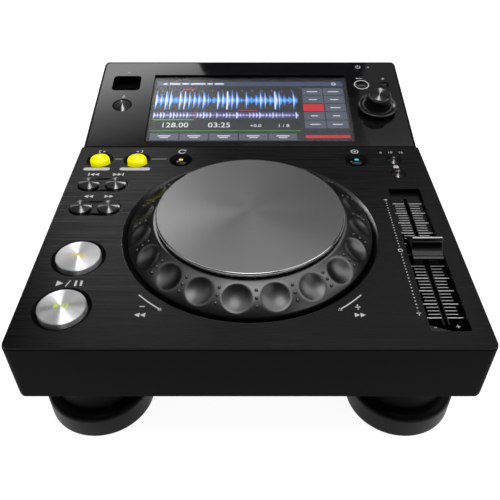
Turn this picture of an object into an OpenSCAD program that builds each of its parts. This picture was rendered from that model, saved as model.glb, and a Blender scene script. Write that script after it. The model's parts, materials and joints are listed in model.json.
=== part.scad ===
// Compact tabletop media player for disc jockeys: a brushed deck with a large
// jog wheel, a tempo fader and push keys, and a tilted touch display behind it.
// Millimetres. X is to the right, Y to the rear, Z up. The origin is under the
// middle of the player, on the surface that its feet stand on.

/* [Body] */
// Width of the deck
body_w = 231; // [220:0.5:260]
// Height of the front face
body_h = 36.2; // [34:0.1:44]
// Depth of the flat deck, from the front face to the display
deck_d = 178; // [174:0.5:200]
// How far the rear part is set in from each side of the deck
rear_step = 1.6; // [0.6:0.1:4]
// Thickness of the case walls
wall = 2.5; // [1.8:0.1:3]
// Thickness of the case top under the deck sheet
top_t = 2; // [1.6:0.1:3]
// Thickness of the deck sheet and of the display fascia
sheet_t = 1.2; // [0.8:0.1:2]
// Margin of the deck sheet inside the case edge
sheet_inset = 0.4; // [0.2:0.1:1]
// Radius of the upright front corners
corner_r = 4; // [2.5:0.5:6]
// Radius of the long lower edges
lower_r = 3.5; // [2.5:0.5:6]
// Thickness of the base plate
base_t = 1.2; // [0.8:0.1:2]
// Height of the upright rear wall
rear_wall_h = 27.2; // [25:0.1:30]
// Thickness of the socket plate in the rear wall
socket_plate_t = 1.5; // [1:0.1:2.5]

/* [Display] */
// Depth of the tilted panel, seen from above
panel_run = 99.5; // [92:0.1:108]
// Rise of the tilted panel
panel_rise = 18; // [12:0.5:24]
// From the upper edge of the tilted panel to the rear wall
rear_back = 14.5; // [10:0.5:20]
// Radius of the two rear corners
rear_r = 4.5; // [3:0.5:8]
// Rim of the case around the fascia
rim_w = 1.3; // [0.8:0.1:2]
// Width of the panel at each side of the screen window
control_band = 40.65; // [40.3:0.05:48]
// From the lower edge of the panel to the screen window
screen_low = 6.45; // [5:0.05:14]
// From the screen window to the upper edge of the panel
screen_high = 17.15; // [12:0.05:26]
// How far the glass runs under the fascia
glass_lap = 1.3; // [0.8:0.1:1.4]
// Thickness of the screen glass
glass_t = 1.1; // [0.7:0.1:1.6]
// Thickness of the display module
lcd_t = 6; // [4:0.1:7]
// Thickness of the bracket behind the display module
bracket_t = 1.2; // [0.8:0.1:2]
// Radius of the posts that carry the bracket
bracket_post_r = 1.8; // [1.4:0.1:2]

/* [Feet] */
// Height of the feet under the case
foot_h = 41.8; // [30:0.1:50]
// Radius of the rubber pads
pad_r = 29.4; // [26:0.1:30]
// Height of the side of the rubber pads
pad_h = 15.7; // [8:0.1:20]
// Radius of the foot columns
column_r = 23.5; // [18:0.1:25]
// Height of the sloping shoulder of the pads
shoulder_h = 2.2; // [1:0.1:4]
// Bevel of the pad edges
pad_bevel = 1.2; // [0.5:0.1:2]
// From the side of the deck to the middle of a front foot
foot_side = 30.5; // [30.2:0.1:40]
// From the side of the rear part to the middle of a rear foot
rear_foot_side = 28.9; // [28:0.1:40]
// From the front face to the middle of the front feet
foot_front = 32.5; // [31:0.5:50]
// From the rear wall to the middle of the rear feet
foot_rear = 34; // [31:0.5:60]

/* [Jog wheel] */
// Width of the deck at each side of the jog wheel's hole
side_band = 43; // [42.8:0.1:50]
// Depth of the deck in front of the jog wheel's hole
jog_front = 16; // [14:0.1:24]
// Depth of the deck behind the jog wheel's hole
jog_rear = 17; // [16.5:0.1:26]
// Width of the bevel around the hole
bezel_w = 2.8; // [1.5:0.1:4]
// Gap between the bevel ring and the jog ring
ring_gap = 0.7; // [0.4:0.1:1.5]
// Width of the sloping face of the jog ring, seen from above
ring_face_w = 15.4; // [13:0.1:18]
// Rise of the sloping face of the jog ring
ring_rise = 9.9; // [7:0.1:12]
// Height of the outer lip of the jog ring over the deck
ring_lip = 0.3; // [0:0.1:1]
// Wall of the jog ring under its sloping face
ring_wall = 3.4; // [3:0.1:4.5]
// Number of finger dimples around the jog ring
dimple_count = 20; // [12:1:20]
// Radius of a finger dimple
dimple_r = 7.9; // [5:0.1:8]
// Depth of a finger dimple
dimple_depth = 2; // [1:0.1:2.4]
// Angle of the first dimple, from the front towards the right
dimple_turn = -6; // [-18:1:18]
// Gap around the platter
platter_gap = 1; // [0.6:0.1:2]
// Thickness of the platter
platter_t = 2; // [1.5:0.1:3]
// Height of the platter's top over the jog ring
platter_over = 3.4; // [2.8:0.1:5]
// Width of the bright rim of the platter
trim_w = 1.5; // [1:0.1:3]
// Travel of the platter when it is touched
platter_travel = 0.4; // [0.2:0.05:0.5]
// Radius of the jog spindle
spindle_r = 3; // [2:0.1:4]
// Radius of the spindle bush
bush_r = 5.5; // [4.8:0.1:7]
// Length of the spindle bush
bush_len = 12; // [8:0.5:14]
// Radius of the encoder disc
encoder_r = 20; // [14:0.5:26]

/* [Tempo fader] */
// From the right side of the case to the middle of the fader
fader_side = 20; // [19:0.1:21]
// From the front face to the fader recess
recess_front = 11; // [8:0.1:20]
// From the fader recess to the middle of the key-lock key
recess_rear = 17.2; // [15:0.1:26]
// Width of the fader recess
recess_w = 19.4; // [18:0.1:20]
// From the end of the recess to the middle of the cap at its stop
fader_end = 12.7; // [11.5:0.1:26]
// Width of the fader cap
cap_w = 16.7; // [14:0.1:17]
// Length of the fader cap
cap_len = 19; // [16:0.1:20]
// Height of the cap's ridge over the deck
cap_h = 9; // [7:0.1:12]
// Height of the cap's front and rear lips over the deck
lip_h = 2; // [1:0.1:3]
// Width of the cap's ridge
ridge_w = 2; // [1.5:0.1:3]
// Thickness of the fader's slotted plate
plate_t = 1.5; // [1:0.1:2]
// Thickness of the fader's metal stem
stem_t = 1.8; // [1.2:0.1:2.5]
// Length of the fader's metal stem
stem_len = 7; // [5:0.1:9]

/* [Keys on the deck] */
// From the left side of the case to the column of transport keys
key_side = 23; // [21:0.1:23.2]
// From the front face to the middle of the play key
play_y = 25.7; // [24:0.1:27]
// From the front face to the middle of the cue key
cue_y = 63.5; // [62:0.1:65]
// Radius of the cue and play keys
transport_r = 12.1; // [10:0.1:12.5]
// Width of the black ring around the cue and play keys
transport_ring_w = 2.4; // [1.5:0.1:2.5]
// Height of the cue and play keys over the deck
transport_top = 1.5; // [0.5:0.1:2]
// From the upper row of keys to the track keys
track_drop = 28.8; // [28:0.1:30]
// From the track keys to the search keys
search_drop = 24.5; // [23:0.1:26]
// Spacing of the two keys of a pair
pair_pitch = 16.6; // [15.5:0.1:17]
// Radius of the search and track keys
pair_r = 6.8; // [5:0.1:7]
// Margin of the oblong dish around a pair of keys
pair_margin = 1.5; // [1.2:0.1:1.7]
// From the display to the middle of the upper row of keys
row_rear = 16.2; // [15:0.1:16.5]
// Loop-in key: distance to the left of the transport keys
loop_in_left = 7.2; // [6:0.1:7.5]
// From the loop-in key to the loop-out key
loop_pitch = 24.6; // [24:0.1:25]
// From the loop-out key to the reloop key
reloop_pitch = 29.2; // [28:0.1:30]
// Radius of the loop keys
loop_r = 6.8; // [5:0.1:7]
// Height of the loop keys over the deck
loop_top = 2.4; // [1:0.1:3]
// Width of the dish around a loop key
loop_dish_w = 1.9; // [1:0.1:2]
// Radius of the reloop and jog mode keys
mode_r = 4.6; // [3:0.1:5]
// Width of the dish around the reloop and jog mode keys
mode_dish_w = 2.9; // [1.5:0.1:3.2]
// Jog mode key: distance to the left of the fader
jog_mode_left = 24.6; // [24:0.1:26]
// Radius of the two tempo keys
tempo_r = 4.5; // [3:0.1:4.8]
// From the upper row of keys to the key-lock key
key_lock_drop = 16.2; // [15.5:0.1:17]
// Travel of the deck keys
key_travel = 0.8; // [0.4:0.1:1.2]
// Depth of the dishes around the keys
dish_depth = 2; // [1:0.1:2.4]

/* [Controls on the display panel] */
// From the side of the rear part to the middle of the left controls
panel_left = 20; // [19:0.1:21]
// From the side of the rear part to the middle of the selector
panel_right = 21.5; // [20.5:0.1:22]
// Height of the selector up the slope
selector_u = 42; // [40:0.1:44]
// Radius of the selector's grip
selector_r = 8.4; // [7:0.1:9]
// Radius of the selector's skirt
skirt_r = 14; // [11:0.1:14.5]
// Height of the selector
selector_h = 12; // [10:0.1:16]
// Radius of the selector's shaft
shaft_r = 3; // [2.5:0.1:3.5]
// Travel of the selector when it is pushed
selector_travel = 0.6; // [0.3:0.1:0.8]
// Height of the back and tag keys up the slope
back_u = 71.5; // [70:0.1:73]
// Back key: distance to the left of the selector
back_left = 7.6; // [7:0.1:8]
// Tag key: distance to the right of the selector
tag_right = 9.6; // [9:0.1:10]
// Radius of the back key
back_r = 4.6; // [3:0.1:4.8]
// Radius of the tag key
tag_r = 3.3; // [2.5:0.1:3.6]
// Height of the memory stop key up the slope
stop_u = 46.6; // [45:0.1:48]
// Radius of the memory stop key
stop_r = 6.8; // [5:0.1:7]
// Height of the memory stick recess up the slope
stick_u = 73.5; // [72.5:0.1:75]
// Width of the memory stick recess
stick_w = 21; // [18:0.1:22]
// Length of the memory stick recess up the slope
stick_len = 18.2; // [14:0.1:19]
// Depth of the memory stick recess
stick_depth = 7.5; // [6:0.1:9]
// From the standby lamp to the upper edge of the panel
lamp_down = 7.1; // [5:0.1:9]
// Radius of the standby lamp
lamp_r = 0.9; // [0.6:0.1:1.2]

/* [Rear sockets] */
// From the right side of the rear part to the middle of the mains inlet
inlet_side = 55.9; // [52:0.1:60]
// Width of the mains inlet's opening
inlet_w = 24.2; // [22:0.1:25]
// Height of the mains inlet's opening
inlet_h = 16.6; // [14:0.1:17]
// From the right side of the rear part to the middle of the power button
power_side = 21.9; // [19:0.1:26]
// Radius of the power button
power_r = 5; // [4:0.1:6]
// Travel of the power button
power_travel = 1.5; // [0.8:0.1:2]
// Network socket: distance from the middle to the right
lan_x = 18; // [16:0.5:22]
// Data socket: distance from the middle to the left
data_x = 6; // [3:0.5:9]
// From the left side of the rear part to the middle of the audio jacks
audio_side = 55.9; // [48:0.1:64]
// Spacing of the audio jacks
audio_pitch = 16; // [14:0.5:20]
// How far the audio jacks stand out of the rear wall
jack_out = 9; // [6:0.5:12]
// Radius of the audio jacks
jack_r = 4.15; // [4:0.05:4.3]

/* [Boards and screws] */
// Thickness of the circuit boards
board_t = 1.6; // [1:0.1:2]
// Depth of the key boards under the deck's top
key_board_drop = 14; // [13.5:0.1:16]
// Height of the main and power boards over the base plate
main_board_lift = 7; // [6.5:0.1:7.6]
// Side of a key switch
switch_w = 6; // [5:0.1:6.5]
// Height of a key switch with its plunger
switch_h = 3.8; // [3:0.1:4]
// Radius of the screw threads
screw_r = 1.5; // [1:0.1:1.6]
// Radius of the screw heads
screw_head_r = 2.75; // [2.2:0.05:3]
// Height of the screw heads
screw_head_h = 1.8; // [1.2:0.1:2.4]
// Radius of the screw bosses
boss_r = 3.2; // [2.9:0.1:3.5]
// Length of a screw in its boss
screw_bite = 8; // [5:0.5:9]
// Radius of the foot bolts
foot_bolt_r = 2; // [1.5:0.1:3]

/* [Clearances] */
// Gap between a moving piece and its guide
slide_gap = 0.3; // [0.2:0.05:0.4]
// Gap between a turning shaft and its bore
run_gap = 0.05; // [0.02:0.01:0.1]
// Gap between fixed pieces that sit in one another
seat_gap = 0.05; // [0.02:0.01:0.1]

/* [Hidden] */
$fn = 64;
e = 0.01;
case_black = "#1b1b1c";
gloss_black = "#0c0c0d";
board_green = "#1f5a3a";

// Overall sizes, with heights measured from the deck's top face
case_d = deck_d + panel_run + rear_back;
rear_w = body_w - 2 * rear_step;
deck_z = foot_h + body_h;
body_d = case_d + jack_out;
under_top = -(sheet_t + top_t);
base_top = -body_h + base_t;
rear_wall_top = -body_h + rear_wall_h;

// The tilted panel: u runs up its slope, n stands on its face
panel_tilt = atan2(panel_rise, panel_run);
panel_len = norm([panel_run, panel_rise]);
brow = 1.2;
brow_y = deck_d + panel_run + brow;
brow_z = panel_rise - brow;
rear_lean = atan2(case_d - brow_y, brow_z - rear_wall_top);
function panel_y(u, n) = deck_d + u * cos(panel_tilt) - n * sin(panel_tilt);
function panel_z(u, n) = u * sin(panel_tilt) + n * cos(panel_tilt);

// The screen window takes what the bands around it leave
window_w = rear_w - 2 * control_band;
window_h = panel_len - screen_low - screen_high;
window_u = screen_low + window_h / 2;

// Jog wheel: its hole takes what the bands around it leave, in width or in depth
jog_hole_r = min(body_w / 2 - side_band, (deck_d - jog_front - jog_rear) / 2);
jog_y = (deck_d + jog_front - jog_rear) / 2;
ring_r = jog_hole_r - bezel_w - ring_gap;
ring_in_r = ring_r - ring_face_w;
ring_top = ring_lip + ring_rise;
ring_slope = atan2(ring_rise, ring_face_w);
ring_inner_wall = 2;
ring_skirt = 6;
web_top = ring_top - 3.9;
web_t = 2;
hub_r = 8;
platter_r = ring_in_r - platter_gap;
platter_top = ring_top + platter_over;
platter_low = platter_top - platter_t;
sensor_t = 1;
rib_out = 10;
rib_in = 18;
bevel_flange_w = 1.8;
bevel_low = under_top - 3.3;
tray_in_r = jog_hole_r + bevel_flange_w + slide_gap;
tray_wall = 2;
tray_ear_r = 6;
tray_floor = -9;
tray_boss_r = tray_in_r + tray_wall + boss_r + 1.7;
bush_top = -8;
bush_flange_t = 1;
bush_low = bush_top - bush_len;
hub_low = bush_top + bush_flange_t + slide_gap;
encoder_t = 0.8;
encoder_hub_h = 2.4;
encoder_low = bush_low - slide_gap - encoder_hub_h;

// Keys
key_x = -body_w / 2 + key_side;
row_y = deck_d - row_rear;
track_y = row_y - track_drop;
search_y = track_y - search_drop;
loop_in_x = key_x - loop_in_left;
loop_out_x = loop_in_x + loop_pitch;
reloop_x = loop_out_x + reloop_pitch;
key_lock_y = row_y - key_lock_drop;
dish_low = under_top - 1.8;
dish_flange_w = 1.5;
key_flange_w = 1.2;
key_flange_t = 1.2;
key_stem_r = 2;
switch_top = -key_board_drop + switch_h;
pair_dish_r = pair_r + pair_margin;
transport_dish = 1.4;
small_key_dome = 0.9;

// Fader: its recess takes the room from the front edge to the key-lock key
fader_x = body_w / 2 - fader_side;
jog_mode_x = fader_x - jog_mode_left;
recess_len = key_lock_y - recess_rear - recess_front;
fader_y = recess_front + recess_len / 2;
fader_travel = recess_len / 2 - fader_end;
carriage_w = 11;
carriage_len = 14;
carriage_h = 7;
track_wall = 1.2;
track_top = under_top - plate_t;
carriage_top = track_top - 4.3;
carriage_low = carriage_top - carriage_h;
track_low = carriage_low - slide_gap - track_wall;
track_spare = 3;
cap_low = under_top + slide_gap + 0.3;
stem_top = lip_h - 0.6;

// Controls on the tilted panel
left_x = -rear_w / 2 + panel_left;
selector_x = rear_w / 2 - panel_right;
back_x = selector_x - back_left;
tag_x = selector_x + tag_right;
lamp_u = panel_len - lamp_down;
lamp_collar_r = lamp_r + 0.8;
lamp_collar_h = 3;
bushing_r = shaft_r + 1.5;
encoder_box = 12;
encoder_box_h = 6.5;
knob_low = selector_travel + slide_gap;
stick_wall = 1.5;
memory_w = 13.1;
memory_len = 5.7;
memory_deep = 14;

// Rear sockets stand on the main board, behind the socket plate
inlet_x = rear_w / 2 - inlet_side;
power_x = rear_w / 2 - power_side;
audio_x = rear_w / 2 - audio_side;
rear_in = case_d - wall;
plate_in = rear_in - socket_plate_t;
socket_face = rear_in + 0.5;
main_top = base_top + main_board_lift + board_t;
jack_mid = main_top + 5;
rear_mid = (rear_wall_top - body_h) / 2;
rear_window_h = rear_wall_h - 6.6;
lan_size = [16, 21, 13.4];
data_size = [12, 17, 11];
audio_deep = 9;
audio_h = 13;
inlet_shell = 1.6;
inlet_deep = 16;
inlet_flange = 2.4;
power_switch_size = [9, 10, 8];

// Boards, in plan
board_edge = 10;
board_split = inlet_x - 23;
board_gap = 6;
board_front = deck_d + 8;
main_board_box = [[-rear_w / 2 + board_edge, board_front], [board_split - board_gap / 2, plate_in - 4]];
power_board_box = [[board_split + board_gap / 2, board_front], [rear_w / 2 - board_edge, case_d - 36]];
left_board_box = [[-body_w / 2 + board_edge, play_y - 12], [reloop_x + 8, row_y + 9]];
right_board_box = [[jog_mode_x - 8, key_lock_y - 6], [fader_x + 10, row_y + 9]];
chip_h = 2.4;
processor_w = 27;
memory_chip = [14, 18, 1.4];
network_chip = [16, 30, 3];
main_can_r = 3.2;
main_can_h = 7;
main_can_pitch = 12;
coil_block = [24, 22, 14];
power_can_r = 6;
power_can_h = 13;
power_can_pitch = 16;

// Places of repeated pieces
case_boss_x = body_w / 2 - wall - boss_r;
rear_boss_x = rear_w / 2 - wall - boss_r + 0.6;
deck_boss_places = [for (s = [-1, 1], y = [wall + 5, jog_y, deck_d - 5]) [s * case_boss_x, y]];
rear_boss_places = [for (s = [-1, 1], y = [deck_d + 16, rear_in - 14]) [s * rear_boss_x, y]];
left_hang_places = [
    [key_x + 9, (play_y + cue_y) / 2], [key_x + pair_pitch / 2 + 8.2, (search_y + track_y) / 2],
    [key_x, (track_y + row_y) / 2 - 0.3], [(loop_out_x + reloop_x) / 2 + 0.4, row_y]
];
right_hang_places = [[(jog_mode_x + fader_x) / 2 + 0.6, row_y], [jog_mode_x + 6, key_lock_y]];
panel_hang_places = [
    [left_x + 11, stop_u - 9], [left_x - 11, stop_u - 9],
    [selector_x - 9, selector_u + 16], [selector_x + 11, back_u + 11]
];
tray_boss_places = [
    for (a = [45 : 90 : 315]) [tray_boss_r * cos(a), jog_y + tray_boss_r * sin(a)]
];
front_foot = [body_w / 2 - foot_side, foot_front];
rear_foot = [rear_w / 2 - rear_foot_side, case_d - foot_rear];
foot_places = [for (s = [-1, 1], p = [front_foot, rear_foot]) [s * p[0], p[1]]];
pair_places = [for (y = [search_y, track_y], s = [-1, 1]) [key_x + s * pair_pitch / 2, y]];
deck_switch_places = concat(
    pair_places,
    [[key_x, play_y], [key_x, cue_y], [loop_in_x, row_y], [loop_out_x, row_y], [reloop_x, row_y]],
    [[jog_mode_x, row_y], [fader_x, row_y], [fader_x, key_lock_y]]
);
panel_switch_places = [[back_x, back_u], [tag_x, back_u], [left_x, stop_u]];
bracket_post_x = window_w / 2 + glass_lap + seat_gap + bracket_post_r + 0.6;
bracket_post_places = [for (s = [-1, 1], v = [-1, 1]) [s * bracket_post_x, window_u + v * window_h * 0.42]];
main_post_places = [
    for (x = [main_board_box[0][0] + 6, main_board_box[1][0] - 5])
        for (y = [main_board_box[0][1] + 6, main_board_box[1][1] - 30]) [x, y]
];
power_post_places = [
    for (x = [power_board_box[0][0] + 5, power_board_box[1][0] - 6])
        for (y = [power_board_box[0][1] + 6, power_board_box[1][1] - 20]) [x, y]
];

// Frames

module on_deck() {
    translate([0, -body_d / 2, deck_z]) children();
}

module on_panel() {
    on_deck() translate([0, deck_d, 0]) rotate([panel_tilt, 0, 0]) children();
}

module at_jog() {
    on_deck() translate([0, jog_y, 0]) children();
}

// Shapes used more than once

module slab(low, high) {
    translate([0, 0, low]) linear_extrude(high - low) children();
}

module rod(r, low, high) {
    translate([0, 0, low]) cylinder(r = r, h = high - low);
}

module at_places(places) {
    for (p = places) translate([p[0], p[1], 0]) children();
}

module plan_box(corners, low, high) {
    size = corners[1] - corners[0];
    translate([corners[0][0], corners[0][1], low]) cube([size[0], size[1], high - low]);
}

module round_box(w, h, r) {
    square([w - 2 * r, h], center = true);
    square([w, h - 2 * r], center = true);
    for (sx = [-1, 1], sy = [-1, 1]) translate([sx * (w / 2 - r), sy * (h / 2 - r)]) circle(r);
}

module oblong(len, r) {
    square([len, 2 * r], center = true);
    for (s = [-1, 1]) translate([s * len / 2, 0]) circle(r);
}

// Plan of the deck, with round front corners, drawn in by a margin
module deck_plan(margin) {
    w = body_w - 2 * margin;
    r = corner_r - margin;
    translate([-w / 2, margin + r]) square([w, deck_d - margin - r]);
    translate([-w / 2 + r, margin]) square([w - 2 * r, 2 * r]);
    for (s = [-1, 1]) translate([s * (w / 2 - r), margin + r]) circle(r);
}

// Side view drawn as depth and height, as wide as asked
module side_cut(w) {
    rotate([90, 0, 90]) linear_extrude(w, center = true) children();
}

// Waste around one round upright edge
module edge_waste(r, low, high) {
    difference() {
        translate([0, 0, low]) cube([r + 2, r + 2, high - low]);
        rod(r, low - 1, high + 1);
    }
}

// A key: a cap with a domed top, a flange under its guide and a stem to its switch
module key_body(r, top, dome, guide_low, switch, travel) {
    flange_top = guide_low - slide_gap;
    flange_low = flange_top - key_flange_t;
    ball_r = (r * r + dome * dome) / (2 * dome);
    intersection() {
        rod(r, flange_low, top + e);
        translate([0, 0, top - ball_r]) sphere(r = ball_r, $fn = 128);
    }
    rod(r + key_flange_w, flange_low, flange_top);
    rod(key_stem_r, switch + travel + slide_gap, flange_low + e);
}

// A dished ring set into the deck around a key
module key_dish(r, dish_w, depth) {
    bore = r + slide_gap;
    out = r + dish_w;
    rotate_extrude() polygon([
        [out, 0], [bore, -depth], [bore, dish_low], [out + dish_flange_w, dish_low],
        [out + dish_flange_w, under_top], [out - seat_gap, under_top], [out - seat_gap, -seat_gap]
    ]);
}

module screw(head_low, length) {
    rod(screw_head_r, head_low, head_low + screw_head_h);
    rod(screw_r, head_low + screw_head_h - e, head_low + screw_head_h + length);
}

// Case

module deck_openings(low) {
    h = e - low;
    translate([0, jog_y, low]) cylinder(r = jog_hole_r, h = h);
    translate([fader_x, fader_y, low]) linear_extrude(h) round_box(recess_w, recess_len, 1);
    for (y = [play_y, cue_y])
        translate([key_x, y, low]) cylinder(r = transport_r + transport_ring_w, h = h);
    for (y = [search_y, track_y])
        translate([key_x, y, low]) linear_extrude(h) oblong(pair_pitch, pair_dish_r);
    for (x = [loop_in_x, loop_out_x])
        translate([x, row_y, low]) cylinder(r = loop_r + loop_dish_w, h = h);
    for (x = [reloop_x, jog_mode_x])
        translate([x, row_y, low]) cylinder(r = mode_r + mode_dish_w, h = h);
    for (y = [row_y, key_lock_y])
        translate([fader_x, y, low]) cylinder(r = tempo_r + slide_gap, h = h);
}

module deck_case() {
    color(case_black) on_deck() difference() {
        union() {
            difference() {
                intersection() {
                    slab(-body_h, -sheet_t) deck_plan(0);
                    translate([0, deck_d, 0]) rotate([90, 0, 0]) linear_extrude(deck_d) {
                        translate([-body_w / 2, lower_r - body_h]) square([body_w, body_h - lower_r]);
                        translate([lower_r - body_w / 2, -body_h])
                            square([body_w - 2 * lower_r, 2 * lower_r]);
                        for (s = [-1, 1])
                            translate([s * (body_w / 2 - lower_r), lower_r - body_h]) circle(lower_r);
                    }
                }
                translate([-body_w / 2 + wall, wall, -body_h - 1])
                    cube([body_w - 2 * wall, deck_d, body_h + 1 + under_top]);
            }
            at_places(deck_boss_places) rod(boss_r, base_top, under_top + e);
            at_places(concat(left_hang_places, right_hang_places))
                rod(boss_r, -key_board_drop, under_top + e);
            at_places(tray_boss_places) rod(boss_r, tray_floor, under_top + e);
        }
        deck_openings(under_top - 1);
        at_places(deck_boss_places)
            rod(screw_r + seat_gap, base_top - 1, base_top + screw_bite + 0.5);
        at_places(concat(left_hang_places, right_hang_places))
            rod(screw_r + seat_gap, -key_board_drop - 1, -key_board_drop + screw_bite);
        at_places(tray_boss_places) rod(screw_r + seat_gap, tray_floor - 1, under_top - seat_gap);
    }
}

module deck_sheet() {
    color("#2c2c2e") on_deck() difference() {
        slab(-sheet_t, 0) deck_plan(sheet_inset);
        deck_openings(-sheet_t - 1);
    }
}

// Outline of the fascia on the tilted panel, grown by a margin
module fascia_plan(grow) {
    w = rear_w - 2 * rim_w + 2 * grow;
    low = rim_w - grow;
    high = panel_len - rim_w + grow;
    r = rear_r - rim_w + grow;
    translate([-w / 2, low]) square([w, high - low - r]);
    translate([-w / 2 + r, high - 2 * r]) square([w - 2 * r, 2 * r]);
    for (s = [-1, 1]) translate([s * (w / 2 - r), high - r]) circle(r);
}

module panel_openings(low) {
    h = 1 - low;
    translate([left_x, stick_u, low]) linear_extrude(h) round_box(stick_w, stick_len, 3);
    translate([left_x, stop_u, low]) cylinder(r = stop_r + slide_gap, h = h);
    translate([back_x, back_u, low]) cylinder(r = back_r + slide_gap, h = h);
    translate([tag_x, back_u, low]) cylinder(r = tag_r + slide_gap, h = h);
    translate([selector_x, selector_u, low]) cylinder(r = bushing_r + seat_gap, h = h);
    translate([selector_x, lamp_u, low]) cylinder(r = lamp_r + seat_gap, h = h);
}

module display_case() {
    roof = under_top;
    outer = [
        [deck_d, -body_h], [deck_d, 0], [panel_y(panel_len, 0), panel_rise],
        [brow_y, brow_z], [case_d, rear_wall_top], [case_d, -body_h]
    ];
    inner = [
        [deck_d - 1, -body_h - 1], [deck_d - 1, panel_z(0, roof)], [panel_y(0, roof), panel_z(0, roof)],
        [panel_y(panel_len - 2.5 * wall, roof), panel_z(panel_len - 2.5 * wall, roof)],
        [case_d - wall, rear_wall_top - wall], [case_d - wall, -body_h - 1]
    ];
    window = [window_w + 2 * glass_lap + 2 * seat_gap, window_h + 2 * glass_lap + 2 * seat_gap];
    color(case_black) difference() {
        union() {
            on_deck() difference() {
                side_cut(rear_w) polygon(outer);
                side_cut(rear_w - 2 * wall) polygon(inner);
                // Round the upright and the leaning rear edges
                for (s = [0, 1]) mirror([s, 0, 0]) {
                    translate([rear_w / 2 - rear_r, case_d - rear_r, 0])
                        edge_waste(rear_r, -body_h - 1, rear_wall_top);
                    translate([rear_w / 2 - rear_r, brow_y, brow_z]) rotate([rear_lean, 0, 0])
                        translate([0, -rear_r, 0])
                            edge_waste(rear_r, -(brow_z - rear_wall_top) / cos(rear_lean), 9);
                }
                translate([0, rear_in, rear_mid]) rotate([-90, 0, 0])
                    slab(-1, wall + 1) round_box(rear_w - 18, rear_window_h, 1.5);
            }
            on_deck() at_places(rear_boss_places) rod(boss_r, base_top, under_top);
            on_panel() at_places(panel_hang_places) rod(boss_r, -key_board_drop, roof + e);
            on_panel() at_places(bracket_post_places)
                rod(bracket_post_r, -sheet_t - glass_t - lcd_t, roof + e);
            on_panel() translate([left_x, stick_u, -stick_depth - stick_wall])
                linear_extrude(stick_depth + stick_wall - sheet_t)
                    round_box(stick_w + 2 * stick_wall, stick_len + 2 * stick_wall, 3);
        }
        on_panel() {
            slab(-sheet_t, 20) fascia_plan(seat_gap);
            translate([0, window_u, roof - 1]) linear_extrude(10) square(window, center = true);
            difference() {
                panel_openings(roof - 1);
                translate([left_x, stick_u, -stick_depth - 20]) cylinder(r = stick_w, h = 20);
            }
            translate([left_x, stick_u, -stick_depth]) linear_extrude(20) round_box(stick_w, stick_len, 3);
            translate([left_x, stick_u, -stick_depth - 5]) linear_extrude(10)
                square([memory_w + 2 * seat_gap, memory_len + 2 * seat_gap], center = true);
            at_places(panel_hang_places)
                rod(screw_r + seat_gap, -key_board_drop - 1, -key_board_drop + screw_bite);
            translate([selector_x, lamp_u, 0])
                rod(lamp_collar_r + slide_gap, under_top - lamp_collar_h - slide_gap, under_top);
        }
        on_deck() at_places(rear_boss_places)
            rod(screw_r + seat_gap, base_top - 1, base_top + screw_bite + 0.5);
    }
}

module display_fascia() {
    color(gloss_black) on_panel() difference() {
        slab(-sheet_t, 0) fascia_plan(0);
        panel_openings(-sheet_t - 1);
        translate([0, window_u, -sheet_t - 1]) linear_extrude(sheet_t + 2)
            square([window_w, window_h], center = true);
    }
}

module screen_plate(low, high) {
    translate([0, window_u, 0]) slab(low, high)
        square([window_w + 2 * glass_lap, window_h + 2 * glass_lap], center = true);
}

module screen_glass() {
    color("#101820") on_panel() screen_plate(-sheet_t - glass_t, -sheet_t);
}

module display_module() {
    color("#3a4a66") on_panel() screen_plate(-sheet_t - glass_t - lcd_t, -sheet_t - glass_t);
}

module display_bracket() {
    top = -sheet_t - glass_t - lcd_t;
    color("#8f9296") on_panel() translate([0, window_u, 0]) difference() {
        slab(top - bracket_t, top)
            square([2 * (bracket_post_x + bracket_post_r), window_h + 2 * glass_lap], center = true);
        for (s = [-1, 1]) translate([s * window_w / 4, 0, top - bracket_t - 1])
            linear_extrude(bracket_t + 2) square([window_w / 3, window_h * 0.6], center = true);
    }
}

module base_plate() {
    margin = wall + slide_gap;
    color("#4a4b4d") on_deck() difference() {
        union() {
            plan_box([[-body_w / 2 + margin, margin], [body_w / 2 - margin, deck_d]], -body_h, base_top);
            plan_box([[-rear_w / 2 + margin, deck_d - e], [rear_w / 2 - margin, rear_in - slide_gap]],
                -body_h, base_top);
            at_places(concat(main_post_places, power_post_places))
                rod(boss_r, base_top - e, main_top - board_t);
        }
        at_places(concat(deck_boss_places, rear_boss_places)) rod(screw_r + 0.2, -body_h - 1, base_top + 1);
        at_places(foot_places) rod(foot_bolt_r + 0.2, -body_h - 1, base_top + 1);
        at_places(concat(main_post_places, power_post_places))
            rod(screw_r + seat_gap, main_top - board_t - screw_bite + screw_head_h, main_top);
    }
}

module socket_plate() {
    low = base_top + slide_gap;
    high = rear_wall_top - wall - slide_gap;
    color("#2a2a2c") on_deck() difference() {
        translate([-rear_w / 2 + wall + 3, plate_in, low])
            cube([rear_w - 2 * wall - 6, socket_plate_t, high - low]);
        translate([inlet_x, plate_in - 1, rear_mid]) rotate([-90, 0, 0]) linear_extrude(9)
            square([inlet_w + 2 * inlet_shell + 2 * seat_gap, inlet_h + 2 * inlet_shell + 2 * seat_gap],
                center = true);
        translate([power_x, plate_in - 1, rear_mid]) rotate([-90, 0, 0])
            cylinder(r = power_r + slide_gap, h = 9);
        translate([lan_x - lan_size[0] / 2 - seat_gap, plate_in - 1, main_top - seat_gap])
            cube([lan_size[0] + 2 * seat_gap, 9, lan_size[2] + 2 * seat_gap]);
        translate([-data_x - data_size[0] / 2 - seat_gap, plate_in - 1, main_top - seat_gap])
            cube([data_size[0] + 2 * seat_gap, 9, data_size[2] + 2 * seat_gap]);
        for (s = [-1, 1]) translate([-audio_x + s * audio_pitch / 2, plate_in - 1, jack_mid])
            rotate([-90, 0, 0]) cylinder(r = jack_r + seat_gap, h = 9);
    }
}

// Feet

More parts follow.
